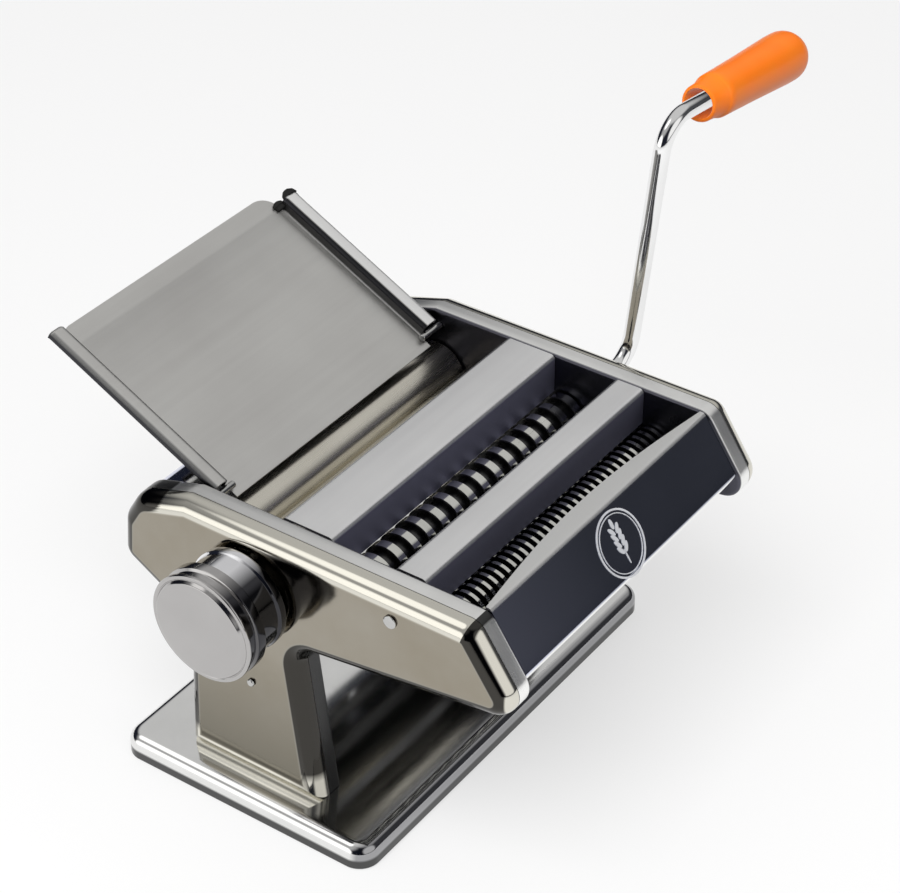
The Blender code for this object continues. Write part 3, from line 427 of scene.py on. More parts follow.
def turnedMesh(name, profile, steps, closed=False):
    # profile is (distance along the axis, radius); radius 0 closes the piece on its axis
    work = bmesh.new()
    turns = [math.tau * k / steps for k in range(steps)]
    rings = []
    for along, radius in profile:
        spots = [(radius * math.cos(turn), radius * math.sin(turn), along) for turn in turns]
        rings.append([work.verts.new(spot) for spot in (spots if radius > 0 else [(0, 0, along)])])
    pairs = list(zip(rings, rings[1:]))
    if closed:
        pairs.append((rings[-1], rings[0]))
    for first, second in pairs:
        for k in range(steps):
            corners = [first[k % len(first)], first[(k + 1) % len(first)],
                       second[(k + 1) % len(second)], second[k % len(second)]]
            work.faces.new(list(dict.fromkeys(corners)))
    return toMesh(name, work)


def softProfile(corners, radius, step=22.0, closed=False):
    # Rounds the corners of a turned profile; a third value in a corner is its own radius
    points = []
    count = len(corners)
    for index, corner in enumerate(corners):
        size = corner[2] if len(corner) > 2 else radius
        if not closed and index in (0, count - 1) or corner[1] <= 0:
            points.append(tuple(corner[:2]))
            continue
        before = Vector(corners[index - 1][:2])
        after = Vector(corners[(index + 1) % count][:2])
        here = Vector(corner[:2])
        size = min(size, 0.45 * (before - here).length, 0.45 * (after - here).length)
        points += [tuple(point) for point in roundCorner(before, here, after, size, step)]
    return points


def turnedPiece(name, profile, finish, body, replaced, at, steps, matrix=alongRollers, closed=False,
                smoothTo=40.0):
    mesh = turnedMesh(name, profile, steps, closed)
    return addPiece(name, mesh, finish, body, replaced, Matrix.Translation(at) @ matrix, smoothTo)


def bentSheet(name, columns, finish, replaced):
    # columns are rows of points of one sheet; it gets its thickness evenly
    work = bmesh.new()
    grid = [[work.verts.new(point) for point in column] for column in columns]
    for left, right in zip(grid, grid[1:]):
        joinColumns(work, left, right)
    piece = addPiece(name, toMesh(name, work), finish, "machine_frame", replaced)
    addThickness(piece, sheet, 0.0)
    applyModifiers(piece)


def acrossSheet(name, path, finish, replaced):
    # path in the side view, run along the rollers
    columns = [[(span * part, point[0], point[1]) for point in path] for part in (-1, -0.5, 0, 0.5, 1)]
    bentSheet(name, columns, finish, replaced)


def cutHoles(piece, holes, low, high):
    # holes are (place in the side view, radius), cut from low to high along the rollers
    cutters = []
    for index, (centre, radius) in enumerate(holes):
        name = "hole_%d" % index
        profile = ((low, 0), (low, radius), (high, radius), (high, 0))
        cutter = bpy.data.objects.new(name, turnedMesh(name, profile, 48))
        cutter.matrix_world = Matrix.Translation((0, *centre)) @ alongRollers
        bpy.context.scene.collection.objects.link(cutter)
        cut = piece.modifiers.new(name, "BOOLEAN")
        cut.operation = "DIFFERENCE"
        cut.object = cutter
        cutters.append(cutter)
    applyModifiers(piece, pressedSmooth)
    for cutter in cutters:
        bpy.data.objects.remove(cutter, do_unlink=True)


# Sizes shared by several pieces
sheet = 1.0 * mm
pressedSmooth = 32.0  # bends of pressed sheet flatter than this look round
plateX, rimX, casingX = 75.2 * mm, 82.4 * mm, 90.5 * mm
span = 74.9 * mm
headTop, headFront, headLean = 134.6 * mm, -102.3 * mm, 0.68
topRear = 30.5 * mm
tipZ = 99.54 * mm
tipY = headFront - headLean * (headTop - tipZ)
legFrontTop = (-21.4 * mm, 85.3 * mm)
legRearTop = (33.1 * mm, 76.5 * mm)
rearTop, rearUpper, rearLower = (55.0 * mm, 127.0 * mm), (62.6 * mm, 114.5 * mm), (64.3 * mm, 95.3 * mm)
smoothZ, cutterZ = 105.5 * mm, 108.5 * mm
frontRollerY, rearRollerY = 0.0, 28.4 * mm
wideRearY, wideFrontY = -36.0 * mm, -53.2 * mm
narrowRearY, narrowFrontY = -77.0 * mm, -94.2 * mm
rollerHalf = 74.7 * mm
rivetSpot = (-68.0 * mm, 123.5 * mm)
pointerSpot = (frontRollerY, smoothZ - 45 * mm)
tieRods = {"front": (-109.0 * mm, 103.5 * mm), "middle": (-18.0 * mm, 84.0 * mm),
           "rear": (55.0 * mm, 104.0 * mm)}
headOutline = roundLoop((
    (headFront, headTop, 8 * mm),
    (topRear, headTop, 0),
    (*rearTop, 14 * mm),
    (*rearUpper, 10 * mm),
    (*rearLower, 8 * mm),
    (*legRearTop, 9 * mm),
    (35.8 * mm, 11.3 * mm, 0),
    (-30.4 * mm, 11.3 * mm, 0),
    (*legFrontTop, 9 * mm),
    (tipY, tipZ, 9 * mm),
))
traySlope = math.radians(27.0)
trayFoot = (24.7 * mm, 124.0 * mm)


def trayPoint(alongSlope, above):
    return (trayFoot[0] + alongSlope * math.cos(traySlope) - above * math.sin(traySlope),
            trayFoot[1] + alongSlope * math.sin(traySlope) + above * math.cos(traySlope))


trayPinSpot = trayPoint(4.5 * mm, 1.8 * mm)


def pressedPan(name, faceX, mouthX, bend, segments, finish, replaced):
    # The head and leg outline as one pressed pan, its flat face at faceX and its mouth at mouthX
    side = 1 if faceX > mouthX else -1
    clockwise = sum(a.x * b.y - b.x * a.y for a, b in zip(headOutline, headOutline[1:] + headOutline[:1])) < 0
    inward = -1 if clockwise else 1
    levels = [(mouthX, 0.0), ((mouthX + faceX - side * bend) / 2, 0.0)]
    levels += [(faceX - side * drop, inset) for drop, inset in edgeBend(bend, segments)]
    work = bmesh.new()
    rings = []
    for x, inset in levels:
        spots = offsetLoop(headOutline, inward * inset)
        rings.append([work.verts.new((x, spot.x, spot.y)) for spot in spots])
    joinRings(work, rings)
    work.faces.new(rings[-1])
    bmesh.ops.recalc_face_normals(work, faces=work.faces)
    face = [item for item in work.faces if len(item.verts) > 4][0]
    if face.normal.x * side < 0:
        bmesh.ops.reverse_faces(work, faces=work.faces)
    mesh = toMesh(name, work, recalculate=False)
    piece = addPiece(name, mesh, finish, "machine_frame", replaced, smoothTo=pressedSmooth)
    addThickness(piece, sheet, -1.0)
    return piece


def buildCasings():
    casing = {"mouth": 82.7 * mm, "bend": 7.4 * mm, "segments": 12, "rivetHole": 1.8 * mm,
              "dialHole": 7.6 * mm, "pointerHole": 1.5 * mm, "crankHole": 6.5 * mm}
    for side, sideName in ((-1, "left"), (1, "right")):
        node = sideName + "_casing"
        shell = pressedPan(node + "_shell", side * casingX, side * casing["mouth"], casing["bend"],
                           casing["segments"], "casing", [node])
        low, high = sorted((side * (casingX - 3 * mm), side * (casingX + 2 * mm)))
        holes = [(rivetSpot, casing["rivetHole"])]
        if side < 0:
            holes += [((frontRollerY, smoothZ), casing["dialHole"]), (pointerSpot, casing["pointerHole"])]
        else:
            sockets = ((rearRollerY, smoothZ), (wideRearY, cutterZ), (narrowRearY, cutterZ))
            holes += [(spot, casing["crankHole"]) for spot in sockets]
        cutHoles(shell, holes, low, high)
    print("casings pressed")


def buildSidePlates():
    plate = {"bend": 1.4 * mm, "segments": 4, "bushHole": 7.8 * mm, "tieHole": 2.3 * mm, "pinHole": 1.8 * mm,
             "bushTravel": 2.6 * mm}
    bushes = [(rearRollerY, smoothZ), (wideRearY, cutterZ), (wideFrontY, cutterZ), (narrowRearY, cutterZ),
              (narrowFrontY, cutterZ), (frontRollerY, smoothZ), (frontRollerY - plate["bushTravel"], smoothZ)]
    holes = [(spot, plate["bushHole"]) for spot in bushes]
    holes += [(spot, plate["tieHole"]) for spot in tieRods.values()]
    holes += [(rivetSpot, plate["pinHole"]), (trayPinSpot, plate["pinHole"])]
    for side, sideName in ((-1, "left"), (1, "right")):
        node = sideName + "_side_plate"
        pan = pressedPan(node + "_pan", side * plateX, side * rimX, plate["bend"], plate["segments"],
                         "plate", [node])
        low, high = sorted((side * (plateX - 1 * mm), side * (plateX + 3 * mm)))
        cutHoles(pan, holes, low, high)
    print("side plates pressed")


def buildBase():
    base = {"halfWidth": 102.1 * mm, "halfDepth": 62.2 * mm, "corner": 9 * mm, "rim": 0.6 * mm,
            "hem": 0.6 * mm, "top": 11.0 * mm, "bend": 5.5 * mm, "segments": 10}
    halfX, halfY, corner = base["halfWidth"], base["halfDepth"], base["corner"]
    loop = roundLoop([(halfX * x, halfY * y, corner) for x, y in quarters], 5.0)
    levels = [(base["rim"], 0.0), (base["rim"] + base["hem"], 0.0)]
    levels += [(base["top"] - drop, inset) for drop, inset in edgeBend(base["bend"], base["segments"])]
    work = bmesh.new()
    rings = [[work.verts.new((spot.x, spot.y, z)) for spot in offsetLoop(loop, inset)] for z, inset in levels]
    joinRings(work, rings)
    work.faces.new(rings[-1])
    piece = addPiece("base_plate_pressing", toMesh("base_plate_pressing", work), "base", "machine_frame",
                     ["base_plate"], smoothTo=pressedSmooth)
    addThickness(piece, sheet, -1.0)
    applyModifiers(piece, pressedSmooth)
    print("base pressed")


def buildFeet():
    feet = {"x": 87.1 * mm, "y": 47.2 * mm, "screwX": 78.8 * mm, "screwY": 2.7 * mm}
    foot = softProfile(inMm(((9.7, 0), (9.7, 8), (1.0, 8), (0, 7), (0, 0))), 0.5 * mm)
    screw = ((13.7, 0), (13.7, 1.5), (9.7, 1.5), (9.7, 3.0), (8.1, 2.4), (8.1, 0))
    screw = softProfile(inMm(screw), 0.3 * mm)
    for side, sideName in ((-1, "left"), (1, "right")):
        for depth, depthName in ((-1, "front"), (1, "rear")):
            turnedPiece("rubber_foot_%s_%s" % (depthName, sideName), foot, "rubber", "machine_frame",
                        ["foot_%s_%s" % (depthName, sideName)],
                        (side * feet["x"], depth * feet["y"], 0), 40, upright)
        turnedPiece("leg_screw_" + sideName, screw, "fixing", "machine_frame", ["base_screw_" + sideName],
                    (side * feet["screwX"], feet["screwY"], 0), 32, upright)
    print("feet and leg screws made")


def buildCovers():
    cover = {"bend": 1.7 * mm, "wall": 15.8 * mm, "longWall": 17.0 * mm, "lip": 6.0 * mm}
    top = headTop - sheet / 2
    strips = (("roller_cover", -6.35 * mm, -30.4 * mm, cover["lip"], cover["longWall"]),
              ("divider_cover", -59.0 * mm, -73.1 * mm, cover["wall"], cover["wall"]))
    for node, rear, front, rearWall, frontWall in strips:
        rear, front = rear - sheet / 2, front + sheet / 2
        corners = ((rear, top - rearWall), (rear, top), (front, top), (front, top - frontWall))
        acrossSheet(node + "_strip", roundPath(corners, cover["bend"]), "strip", [node])
    buildFrontCover(top)
    buildRearCover()
    print("covers bent")


def buildFrontCover(top):
    panel = {"recess": 1.5 * mm, "bend": 1.7 * mm, "footZ": 108.8 * mm, "return": 10.0 * mm,
             "flangeEnd": 1.6 * mm, "flangeMiddle": 8.2 * mm, "columns": 48}
    slope = Vector((-headLean, -1)).normalized()
    inward = Vector((-slope.y, slope.x))
    under = (Vector(legFrontTop) - Vector((tipY, tipZ))).normalized()
    line = Vector((headFront, headTop)) + inward * panel["recess"]
    upper = line + slope * ((top - line.y) / slope.y)
    lower = line + slope * ((panel["footZ"] - line.y) / slope.y)
    columns = []
    for index in range(panel["columns"] + 1):
        part = 2 * index / panel["columns"] - 1
        bow = (panel["flangeMiddle"] - panel["flangeEnd"]) * math.cos(part * math.pi / 2)
        flange = panel["flangeEnd"] + bow
        corners = ((upper.x + flange, top), upper, lower, lower + under * panel["return"])
        path = roundPath(corners, (min(panel["bend"], flange * 0.5), panel["bend"]), 9.0)
        columns.append([(part * span, point.x, point.y) for point in path])
    bentSheet("front_cover_panel", columns, "panel", ["front_cover"])


def buildRearCover():
    cover = {"start": 43.0 * mm, "end": 52.0 * mm, "recess": 1.5 * mm, "underTray": 0.9 * mm, "gap": 0.3 * mm,
             "bends": (0.9 * mm, 12.5 * mm, 8.5 * mm, 6.5 * mm)}
    slope = (rearTop[1] - headTop) / (rearTop[0] - topRear)
    under = (legRearTop[1] - rearLower[1]) / (legRearTop[0] - rearLower[0])
    outer = ((cover["start"], headTop + slope * (cover["start"] - topRear)), rearTop, rearUpper, rearLower,
             (cover["end"], rearLower[1] + under * (cover["end"] - rearLower[0])))
    path = offsetLoop(outer, -cover["recess"], closed=False)
    belowTray = trayFoot[1] + (path[0].x - sheet / 2 - trayFoot[0]) * math.tan(traySlope)
    belowTray -= cover["underTray"] / math.cos(traySlope) + cover["gap"]
    corners = [Vector((path[0].x, belowTray))] + path
    path = roundPath(corners, cover["bends"], 6.0)
    acrossSheet("rear_cover_sheet", path, "panel", ["rear_cover"])


def oval(x, y, long, wide, lean, count=20):
    cosine, sine = math.cos(math.radians(lean)), math.sin(math.radians(lean))
    points = []
    for k in range(count):
        a, b = wide * math.cos(math.tau * k / count), long * math.sin(math.tau * k / count)
        points.append((x + a * cosine + b * sine, y - a * sine + b * cosine))
    return points


def addRaised(work, depth, rim, hole=None):
    # One raised shape: a filled outline, or the band between two outlines
    loops = [rim, hole] if hole else [rim]
    rings = [[[work.verts.new((x, y, z)) for x, y in loop] for z in (0, depth)] for loop in loops]
    for levels in rings:
        joinRings(work, levels)
    for level in (0, 1):
        if hole:
            joinRings(work, [rings[0][level], rings[1][level]])
        else:
            work.faces.new(rings[0][level])


def buildBadge():
    # A plain ring round an ear of wheat, raised a little on the front cover; the ear's sizes are in mm
    badge = {"x": -0.5 * mm, "z": 121.7 * mm, "ring": 13.6, "line": 0.8, "innerRing": 11.9, "innerLine": 0.35,
             "depth": 0.25 * mm, "inset": 1.02 * mm, "pairs": 4, "grain": (2.2, 0.9), "lean": 33}
    up = Vector((0, headLean, 1)).normalized()
    out = Vector((1, 0, 0)).cross(up)
    spot = Vector((badge["x"], headFront - headLean * (headTop - badge["z"]), badge["z"]))
    spot -= out * badge["inset"]
    place = Matrix((Vector((1, 0, 0)), up, out)).transposed().to_4x4()
    place.translation = spot
    work = bmesh.new()
    for size, line in ((badge["ring"], badge["line"]), (badge["innerRing"], badge["innerLine"])):
        rim, hole = (inMm(oval(0, 0, radius, radius, 0, 96)) for radius in (size, size - line))
        addRaised(work, badge["depth"], rim, hole)
    ear = [oval(0, -5.6, 3.2, 0.32, 0)]
    for index in range(badge["pairs"]):
        for side in (-1, 1):
            ear.append(oval(side * 1.8, -2.2 + 2.7 * index, *badge["grain"], side * badge["lean"]))
    ear.append(oval(0, 8.4, *badge["grain"], 0))
    for outline in ear:
        addRaised(work, badge["depth"], inMm(outline))
    addPiece("front_badge", toMesh("front_badge", work), "badge", "machine_frame", [], place)
    print("badge made")


tray = {"half": 73.0 * mm, "length": 96.5 * mm, "sheet": 0.9 * mm, "start": 6.3 * mm, "band": 9.0 * mm,
        "step": 0.35 * mm, "hem": 7.5 * mm, "hemHeight": 6.0 * mm, "hemLip": 2.6 * mm, "hemEnd": 1.2 * mm,
        "hemBends": (1.2 * mm, 2.4 * mm, 2.1 * mm), "fold": 1.3 * mm,
        "left": {"corner": 5.0 * mm, "shorter": 0.3 * mm}, "right": {"corner": 9.0 * mm, "shorter": 8.0 * mm}}


def trayHalf(side, corner, shorter):
    # Columns of points up the slope, from the tray's middle to the lip of one hem
    middle = -tray["sheet"] / 2
    fold = tray["half"] - tray["hem"]
    outside, top = tray["half"] - tray["sheet"] / 2, tray["hemHeight"] - tray["sheet"] / 2
    hem = roundPath(((fold - tray["fold"], middle), (fold, middle), (fold, top), (outside, top),
                     (outside + 0.2 * mm, top - tray["hemLip"])), tray["hemBends"], 10.0)
    folded = tray["length"] - tray["band"]
    cornerX = fold - tray["fold"] - corner
    columns = []
    for x in [0.0, fold * 0.3, fold * 0.6] + [cornerX + corner * k / 10 for k in range(11)]:
        inCorner = min(1.0, max(0.0, (x - cornerX) / corner))
        end = tray["length"] - max(corner * 0.55, shorter) * (1 - math.sqrt(1 - inCorner ** 2))
        band = min(folded, end - 0.8 * mm)
        ys = [(0.0, 0.0), (tray["start"], 0.0), (folded * 0.5, 0.0), (band - 1.0 * mm, 0.0),
              (band - 0.2 * mm, 1.0)]
        ys += [(band + (end - band) * k / 6, 1.0) for k in range(1, 7)]
        columns.append([(side * x, y, middle + tray["step"] * raised) for y, raised in ys])
    full = tray["length"] - shorter - tray["hemEnd"]
    ys = [tray["start"], tray["start"] + 2 * mm, full * 0.5, full]
    ys += [full + tray["hemEnd"] * math.sin(math.radians(90 * k / 8)) for k in range(1, 8)]
    shares = [1 - 0.15 * max(0.0, (y - full) / tray["hemEnd"]) ** 2 for y in ys]
    for point in hem[1:]:
        heights = [middle + (point.y - middle) * share for share in shares]
        columns.append([(side * point.x, y, z) for y, z in zip(ys, heights)])
    return columns


def buildTray():
    place = Matrix.Translation((0, *trayFoot)) @ Matrix.Rotation(traySlope, 4, "X")
    columns = trayHalf(-1, **tray["left"])[:0:-1] + trayHalf(1, **tray["right"])
    work = bmesh.new()
    grid = [[work.verts.new(spot) for spot in column] for column in columns]
    for left, right in zip(grid, grid[1:]):
        stepUp = right[0].co.y - left[0].co.y
        if abs(stepUp) > 1 * mm:
            # The hems start further up the slope than the sheet between them
            work.faces.new((left[0], right[0], left[1]) if stepUp > 0 else (right[0], right[1], left[0]))
        joinColumns(work, left, right, int(abs(stepUp) > 1 * mm))
    piece = addPiece("feed_tray_sheet", toMesh("feed_tray_sheet", work), "tray", "tray", ["feed_tray"],
                     place)
    addThickness(piece, tray["sheet"], 0.0)
    applyModifiers(piece)
    # Painted shade: black rubber pieces fill the dark open end of the right hem and the end of its fold
    hemEnd = tray["length"] - tray["right"]["shorter"]
    mouthShades = {"hem_mouth_shade": {"x": 70.6 * mm, "z": 3.3 * mm, "radius": 2.9, "reach": 3.4},
             "fold_end_shade": {"x": 64.0 * mm, "z": 0.9 * mm, "radius": 2.3, "reach": 2.2}}
    lying = Matrix.Rotation(math.radians(-90), 4, "X") @ Matrix.Diagonal((1.35, 1, 1, 1))
    for name, mouthShade in mouthShades.items():
        radius, reach = mouthShade["radius"], mouthShade["reach"]
        profile = ((-2.0, 0), (-2.0, radius * 0.8), (-0.3, radius * 0.8), (0, radius, 0.3),
                   (reach * 0.6, radius * 0.85, 0.6), (reach, radius * 0.4, 0.4), (reach, 0))
        mesh = turnedMesh(name, softProfile(inMm(profile), 0.2 * mm), 36)
        spot = Matrix.Translation((mouthShade["x"], hemEnd, mouthShade["z"]))
        addPiece(name, mesh, "rubber", "tray", [], place @ spot @ lying)
    print("feed tray folded")


def buildFixings():
    half = [(77.5, 0), (77.5, 3.0), (76.5, 3.0), (76.5, 2.0), (74.9, 2.0), (74.9, 3.0)]
    bar = softProfile(inMm(half + [(-x, radius) for x, radius in half[::-1]]), 0.25 * mm)
    for rod, spot in tieRods.items():
        turnedPiece("tie_rod_%s_bar" % rod, bar, "gear", "machine_frame", ["tie_rod_" + rod],
                    (0, *spot), 32)
    rivet = ((91.7, 0), (91.7, 1.6, 0.8), (91.4, 2.8), (90.7, 2.8), (90.7, 1.5), (75.4, 1.5), (75.4, 0))
    pin = ((77.5, 0), (77.5, 2.5), (76.5, 2.5), (76.5, 1.5), (62.2, 1.5, 0.5), (62.2, 0))
    for side, sideName in ((-1, "left"), (1, "right")):
        rivetProfile, pinProfile = (inMm([(side * x, *rest) for x, *rest in shape]) for shape in (rivet, pin))
        turnedPiece(sideName + "_rivet_domed", softProfile(rivetProfile, 0.3 * mm), "fixing", "machine_frame",
                    [sideName + "_casing_rivet"], (0, *rivetSpot), 40)
        turnedPiece("tray_pin_%s_turned" % sideName, softProfile(pinProfile, 0.2 * mm), "fixing",
                    "machine_frame", ["tray_pin_" + sideName], (0, *trayPinSpot), 28)
    stud = inMm(((-88.7, 0), (-88.7, 1.2), (-90.8, 1.2), (-90.8, 1.8), (-91.8, 1.4, 0.5), (-91.8, 0)))
    turnedPiece("setting_pointer_stud", softProfile(stud, 0.2 * mm), "fixing", "machine_frame",
                ["setting_pointer"], (0, *pointerSpot), 28)
    print("rods, rivets and pins turned")


def rollerProfile(body, driven):
    # A driven shaft is longer and has the crank's socket in its right end
    shaft = {"radius": 5.2 * mm, "left": -78.4 * mm, "right": 84.7 * mm, "drivenRight": 89.9 * mm,
             "socket": 3.4 * mm, "socketDepth": 30 * mm}
    right = shaft["drivenRight"] if driven else shaft["right"]
    ends = [(shaft["left"], 0), (shaft["left"], shaft["radius"]), (-rollerHalf, shaft["radius"])] + body
    ends += [(rollerHalf, shaft["radius"]), (right, shaft["radius"])]
    if driven:
        bottom = right - shaft["socketDepth"]
        return ends + [(right, shaft["socket"]), (bottom, shaft["socket"]), (bottom, 0)]
    return ends + [(right, 0)]


def cutterBody(rings, edge, shift):
    # Rings and grooves of one cutter, from its left end to its right end
    core, outer, gap = 7.2 * mm, 9.6 * mm, 0.2 * mm
    pitch = 2 * rollerHalf / rings
    body = []
    for index in range(rings - 1, -1, -1):
        high = rollerHalf - (index + shift) * pitch - gap / 2
        low = high - (pitch / 2 - gap)
        ring = [(low, core), (low, outer - edge), (low + edge * 0.7, outer),
                (high - edge * 0.7, outer), (high, outer - edge), (high, core)]
        if low < -rollerHalf:
            ring = [(max(along, -rollerHalf), radius) for along, radius in ring]
            ring = [spot for k, spot in enumerate(ring) if k == 0 or spot != ring[k - 1]]
        body += ring
    if body[0][0] > -rollerHalf + 0.01 * mm:
        body.insert(0, (-rollerHalf, core))
    if body[-1][0] < rollerHalf - 0.01 * mm:
        body.append((rollerHalf, core))
    return body


def shadeGrooves(piece, y):
    # Painted shade: the grooves and the rings' sides get the scrapers' dark finish
    shade = {"radius": 9.0 * mm, "sideways": 0.8}
    piece.data.materials.append(finishes["blade"])
    for face in piece.data.polygons:
        out = math.hypot(face.center.y - y, face.center.z - cutterZ)
        dark = out < shade["radius"] or abs(face.normal.x) > shade["sideways"]
        face.material_index = int(dark)


def buildRollers():
    smooth = {"radius": 14.0 * mm, "chamfer": 0.7 * mm}
    radius, chamfer = smooth["radius"], smooth["chamfer"]
    body = [(-rollerHalf, radius - chamfer), (-rollerHalf + chamfer, radius),
            (rollerHalf - chamfer, radius), (rollerHalf, radius - chamfer)]
    for name, y, driven in (("front_roller", frontRollerY, False), ("rear_roller", rearRollerY, True)):
        profile = softProfile(rollerProfile(body, driven), 0.2 * mm)
        turnedPiece(name + "_polished", profile, "roller", name, [name], (0, y, smoothZ), 128)
    cutters = {"wide": {"rings": 16, "steps": 72, "edge": 0.45 * mm, "ys": (wideRearY, wideFrontY)},
               "narrow": {"rings": 36, "steps": 56, "edge": 0.22 * mm, "ys": (narrowRearY, narrowFrontY)}}
    for pair, made in cutters.items():
        for place, y, shift in zip(("rear", "front"), made["ys"], (0.0, 0.5)):
            name = "%s_cutter_%s" % (pair, place)
            profile = rollerProfile(cutterBody(made["rings"], made["edge"], shift), place == "rear")
            piece = turnedPiece(name + "_ringed", profile, "cutter", "%s_%s" % (pair, place), [name],
                                (0, y, cutterZ), made["steps"], smoothTo=28.0)
            shadeGrooves(piece, y)
    print("rollers and cutters turned")


def buildKnob():
    knob = {"face": -119.0, "radius": 23.4, "groove": 22.0, "collar": 20.9, "boss": 17.9, "skirt": 21.6,
            "barrel": 20.6, "inner": 18.2}
    at = (0, frontRollerY, smoothZ)
    face, r, groove, collar, boss, skirt, barrel, inner = knob.values()
    # Two polished bands with a groove between, a stepped front, and a collar round the sleeve at the rear
    cap = ((8.6, 0), (8.6, boss), (6.6, boss), (6.6, collar), (11.5, collar), (11.5, r - 0.5), (11.0, r, 0.4),
           (7.2, r, 0.5), (6.5, groove, 0.3), (3.5, groove, 0.3), (2.8, r, 0.4), (1.3, r, 0.8),
           (1.2, r - 1.5, 0.6), (1.5, r - 1.9, 0.2), (0, r - 2.9, 1.1), (0.2, r - 9, 4), (0.25, 0))
    cap = softProfile(inMm([(face + behind, *rest) for behind, *rest in cap]), 0.25 * mm, 12.0)
    turnedPiece("knob_cap_spun", cap, "knob", "knob", ["knob_cap"], at, 128, smoothTo=50.0)
    sleeve = ((-92.9, collar), (-93.6, skirt, 0.6), (-96.5, skirt, 0.5), (-97.2, barrel, 0.5),
              (-112.1, barrel), (-112.1, inner), (-95.9, inner), (-95.9, 7.3), (-93.9, 7.3),
              (-93.9, inner), (-92.9, inner))
    sleeve = softProfile(inMm(sleeve), 0.2 * mm, 15.0, closed=True)
    turnedPiece("knob_sleeve_turned", sleeve, "sleeve", "knob", ["knob_sleeve"], at, 128,
                closed=True)
    pin = inMm(((-94.9, 0), (-94.9, 1.5), (-90.8, 1.5, 0.5), (-90.8, 0)))
    turnedPiece("index_pin", softProfile(pin, 0.2 * mm), "gear", "knob", [],
                (0, frontRollerY, smoothZ + 14 * mm), 24)
    hub = inMm(((-79.2, 0), (-79.2, 7), (-108.9, 7), (-108.9, 11), (-110.1, 11), (-110.1, 0)))
    hub = softProfile(hub, 0.3 * mm)
    turnedPiece("dial_hub_turned", hub, "gear", "dial", ["dial_hub"], at, 64)
    buildKnobSpring(at)
    print("thickness knob made")


def buildKnobSpring(at):
    spring = {"start": -108.1 * mm, "end": -96.7 * mm, "turns": 3, "radius": 8.9 * mm, "wire": 1.0 * mm,
              "perTurn": 40}
    points = []
    count = spring["turns"] * spring["perTurn"]
    for index in range(count + 1):
        angle = math.tau * index / spring["perTurn"]
        along = spring["start"] + (spring["end"] - spring["start"]) * index / count
        across = Vector((0, math.cos(angle), math.sin(angle))) * spring["radius"]
        points.append(Vector(at) + Vector((along, 0, 0)) + across)
    mesh = tubeMesh("knob_spring_wire", points, [spring["wire"] / 2] * len(points), 12)
    piece = addPiece("knob_spring_wire", mesh, "spring", "dial", ["knob_spring"])
    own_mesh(piece)


def tubeMesh(name, points, radii, sides):
    # A round bar along points, closed at both ends
    work = bmesh.new()
    rings = []
    side = Vector((0, 1, 0.2)).normalized()
    for index, (point, radius) in enumerate(zip(points, radii)):
        before = points[max(0, index - 1)]
        after = points[min(len(points) - 1, index + 1)]
        way = (after - before).normalized()
        side = (side - way * side.dot(way)).normalized()
        other = way.cross(side)
        turns = [math.tau * k / sides for k in range(sides)]
        rings.append([work.verts.new(point + (side * math.cos(turn) + other * math.sin(turn)) * radius)
                      for turn in turns])
    joinRings(work, rings)
    work.faces.new(rings[0][::-1])
    work.faces.new(rings[-1])
    return toMesh(name, work)


crank = {"reach": 124.0 * mm, "arm": 115.5 * mm, "lean": 4.8, "flare": 2.5, "droop": 7.5, "radius": 3.6 * mm,
         "tang": 3.1 * mm, "tangStart": 64.2 * mm, "shoulder": 90.2 * mm, "bend": 13.0 * mm,
         "gripStart": 25.5 * mm, "rodInGrip": 62 * mm}


def buildCrank():
    lean, flare, droop = (math.radians(crank[key]) for key in ("lean", "flare", "droop"))
    up = Vector((0, -math.sin(lean), math.cos(lean)))
    right = Vector((1, 0, 0))
    low = Vector((crank["reach"], wideRearY, cutterZ))
    high = low + (up * math.cos(flare) + right * math.sin(flare)) * crank["arm"]
    gripWay = right * math.cos(droop) - up * math.sin(droop)
    start = Vector((crank["tangStart"], wideRearY, cutterZ))
    shoulder = Vector((crank["shoulder"], wideRearY, cutterZ))
    rodEnd = high + gripWay * (crank["gripStart"] + crank["rodInGrip"])
    rod, tang = crank["radius"], crank["tang"]
    route = [(start, tang - 0.5 * mm), (start + right * 0.5 * mm, tang), (shoulder, tang),
             (shoulder + right * 0.15 * mm, rod - 0.4 * mm), (shoulder + right * 0.6 * mm, rod)]
    for before, corner, after in ((shoulder, low, high), (low, high, rodEnd)):
        route += [(point, rod) for point in roundCorner(before, corner, after, crank["bend"], 5.0)]
    route += [(rodEnd - gripWay * 0.5 * mm, rod), (rodEnd, rod - 0.5 * mm)]
    mesh = tubeMesh("crank_rod_bent", [point for point, size in route], [size for point, size in route], 40)
    addPiece("crank_rod_bent", mesh, "crank", "crank", ["crank_rod"], smoothTo=50.0)
    buildGrip(high + gripWay * crank["gripStart"], gripWay)
    print("crank and grip made")


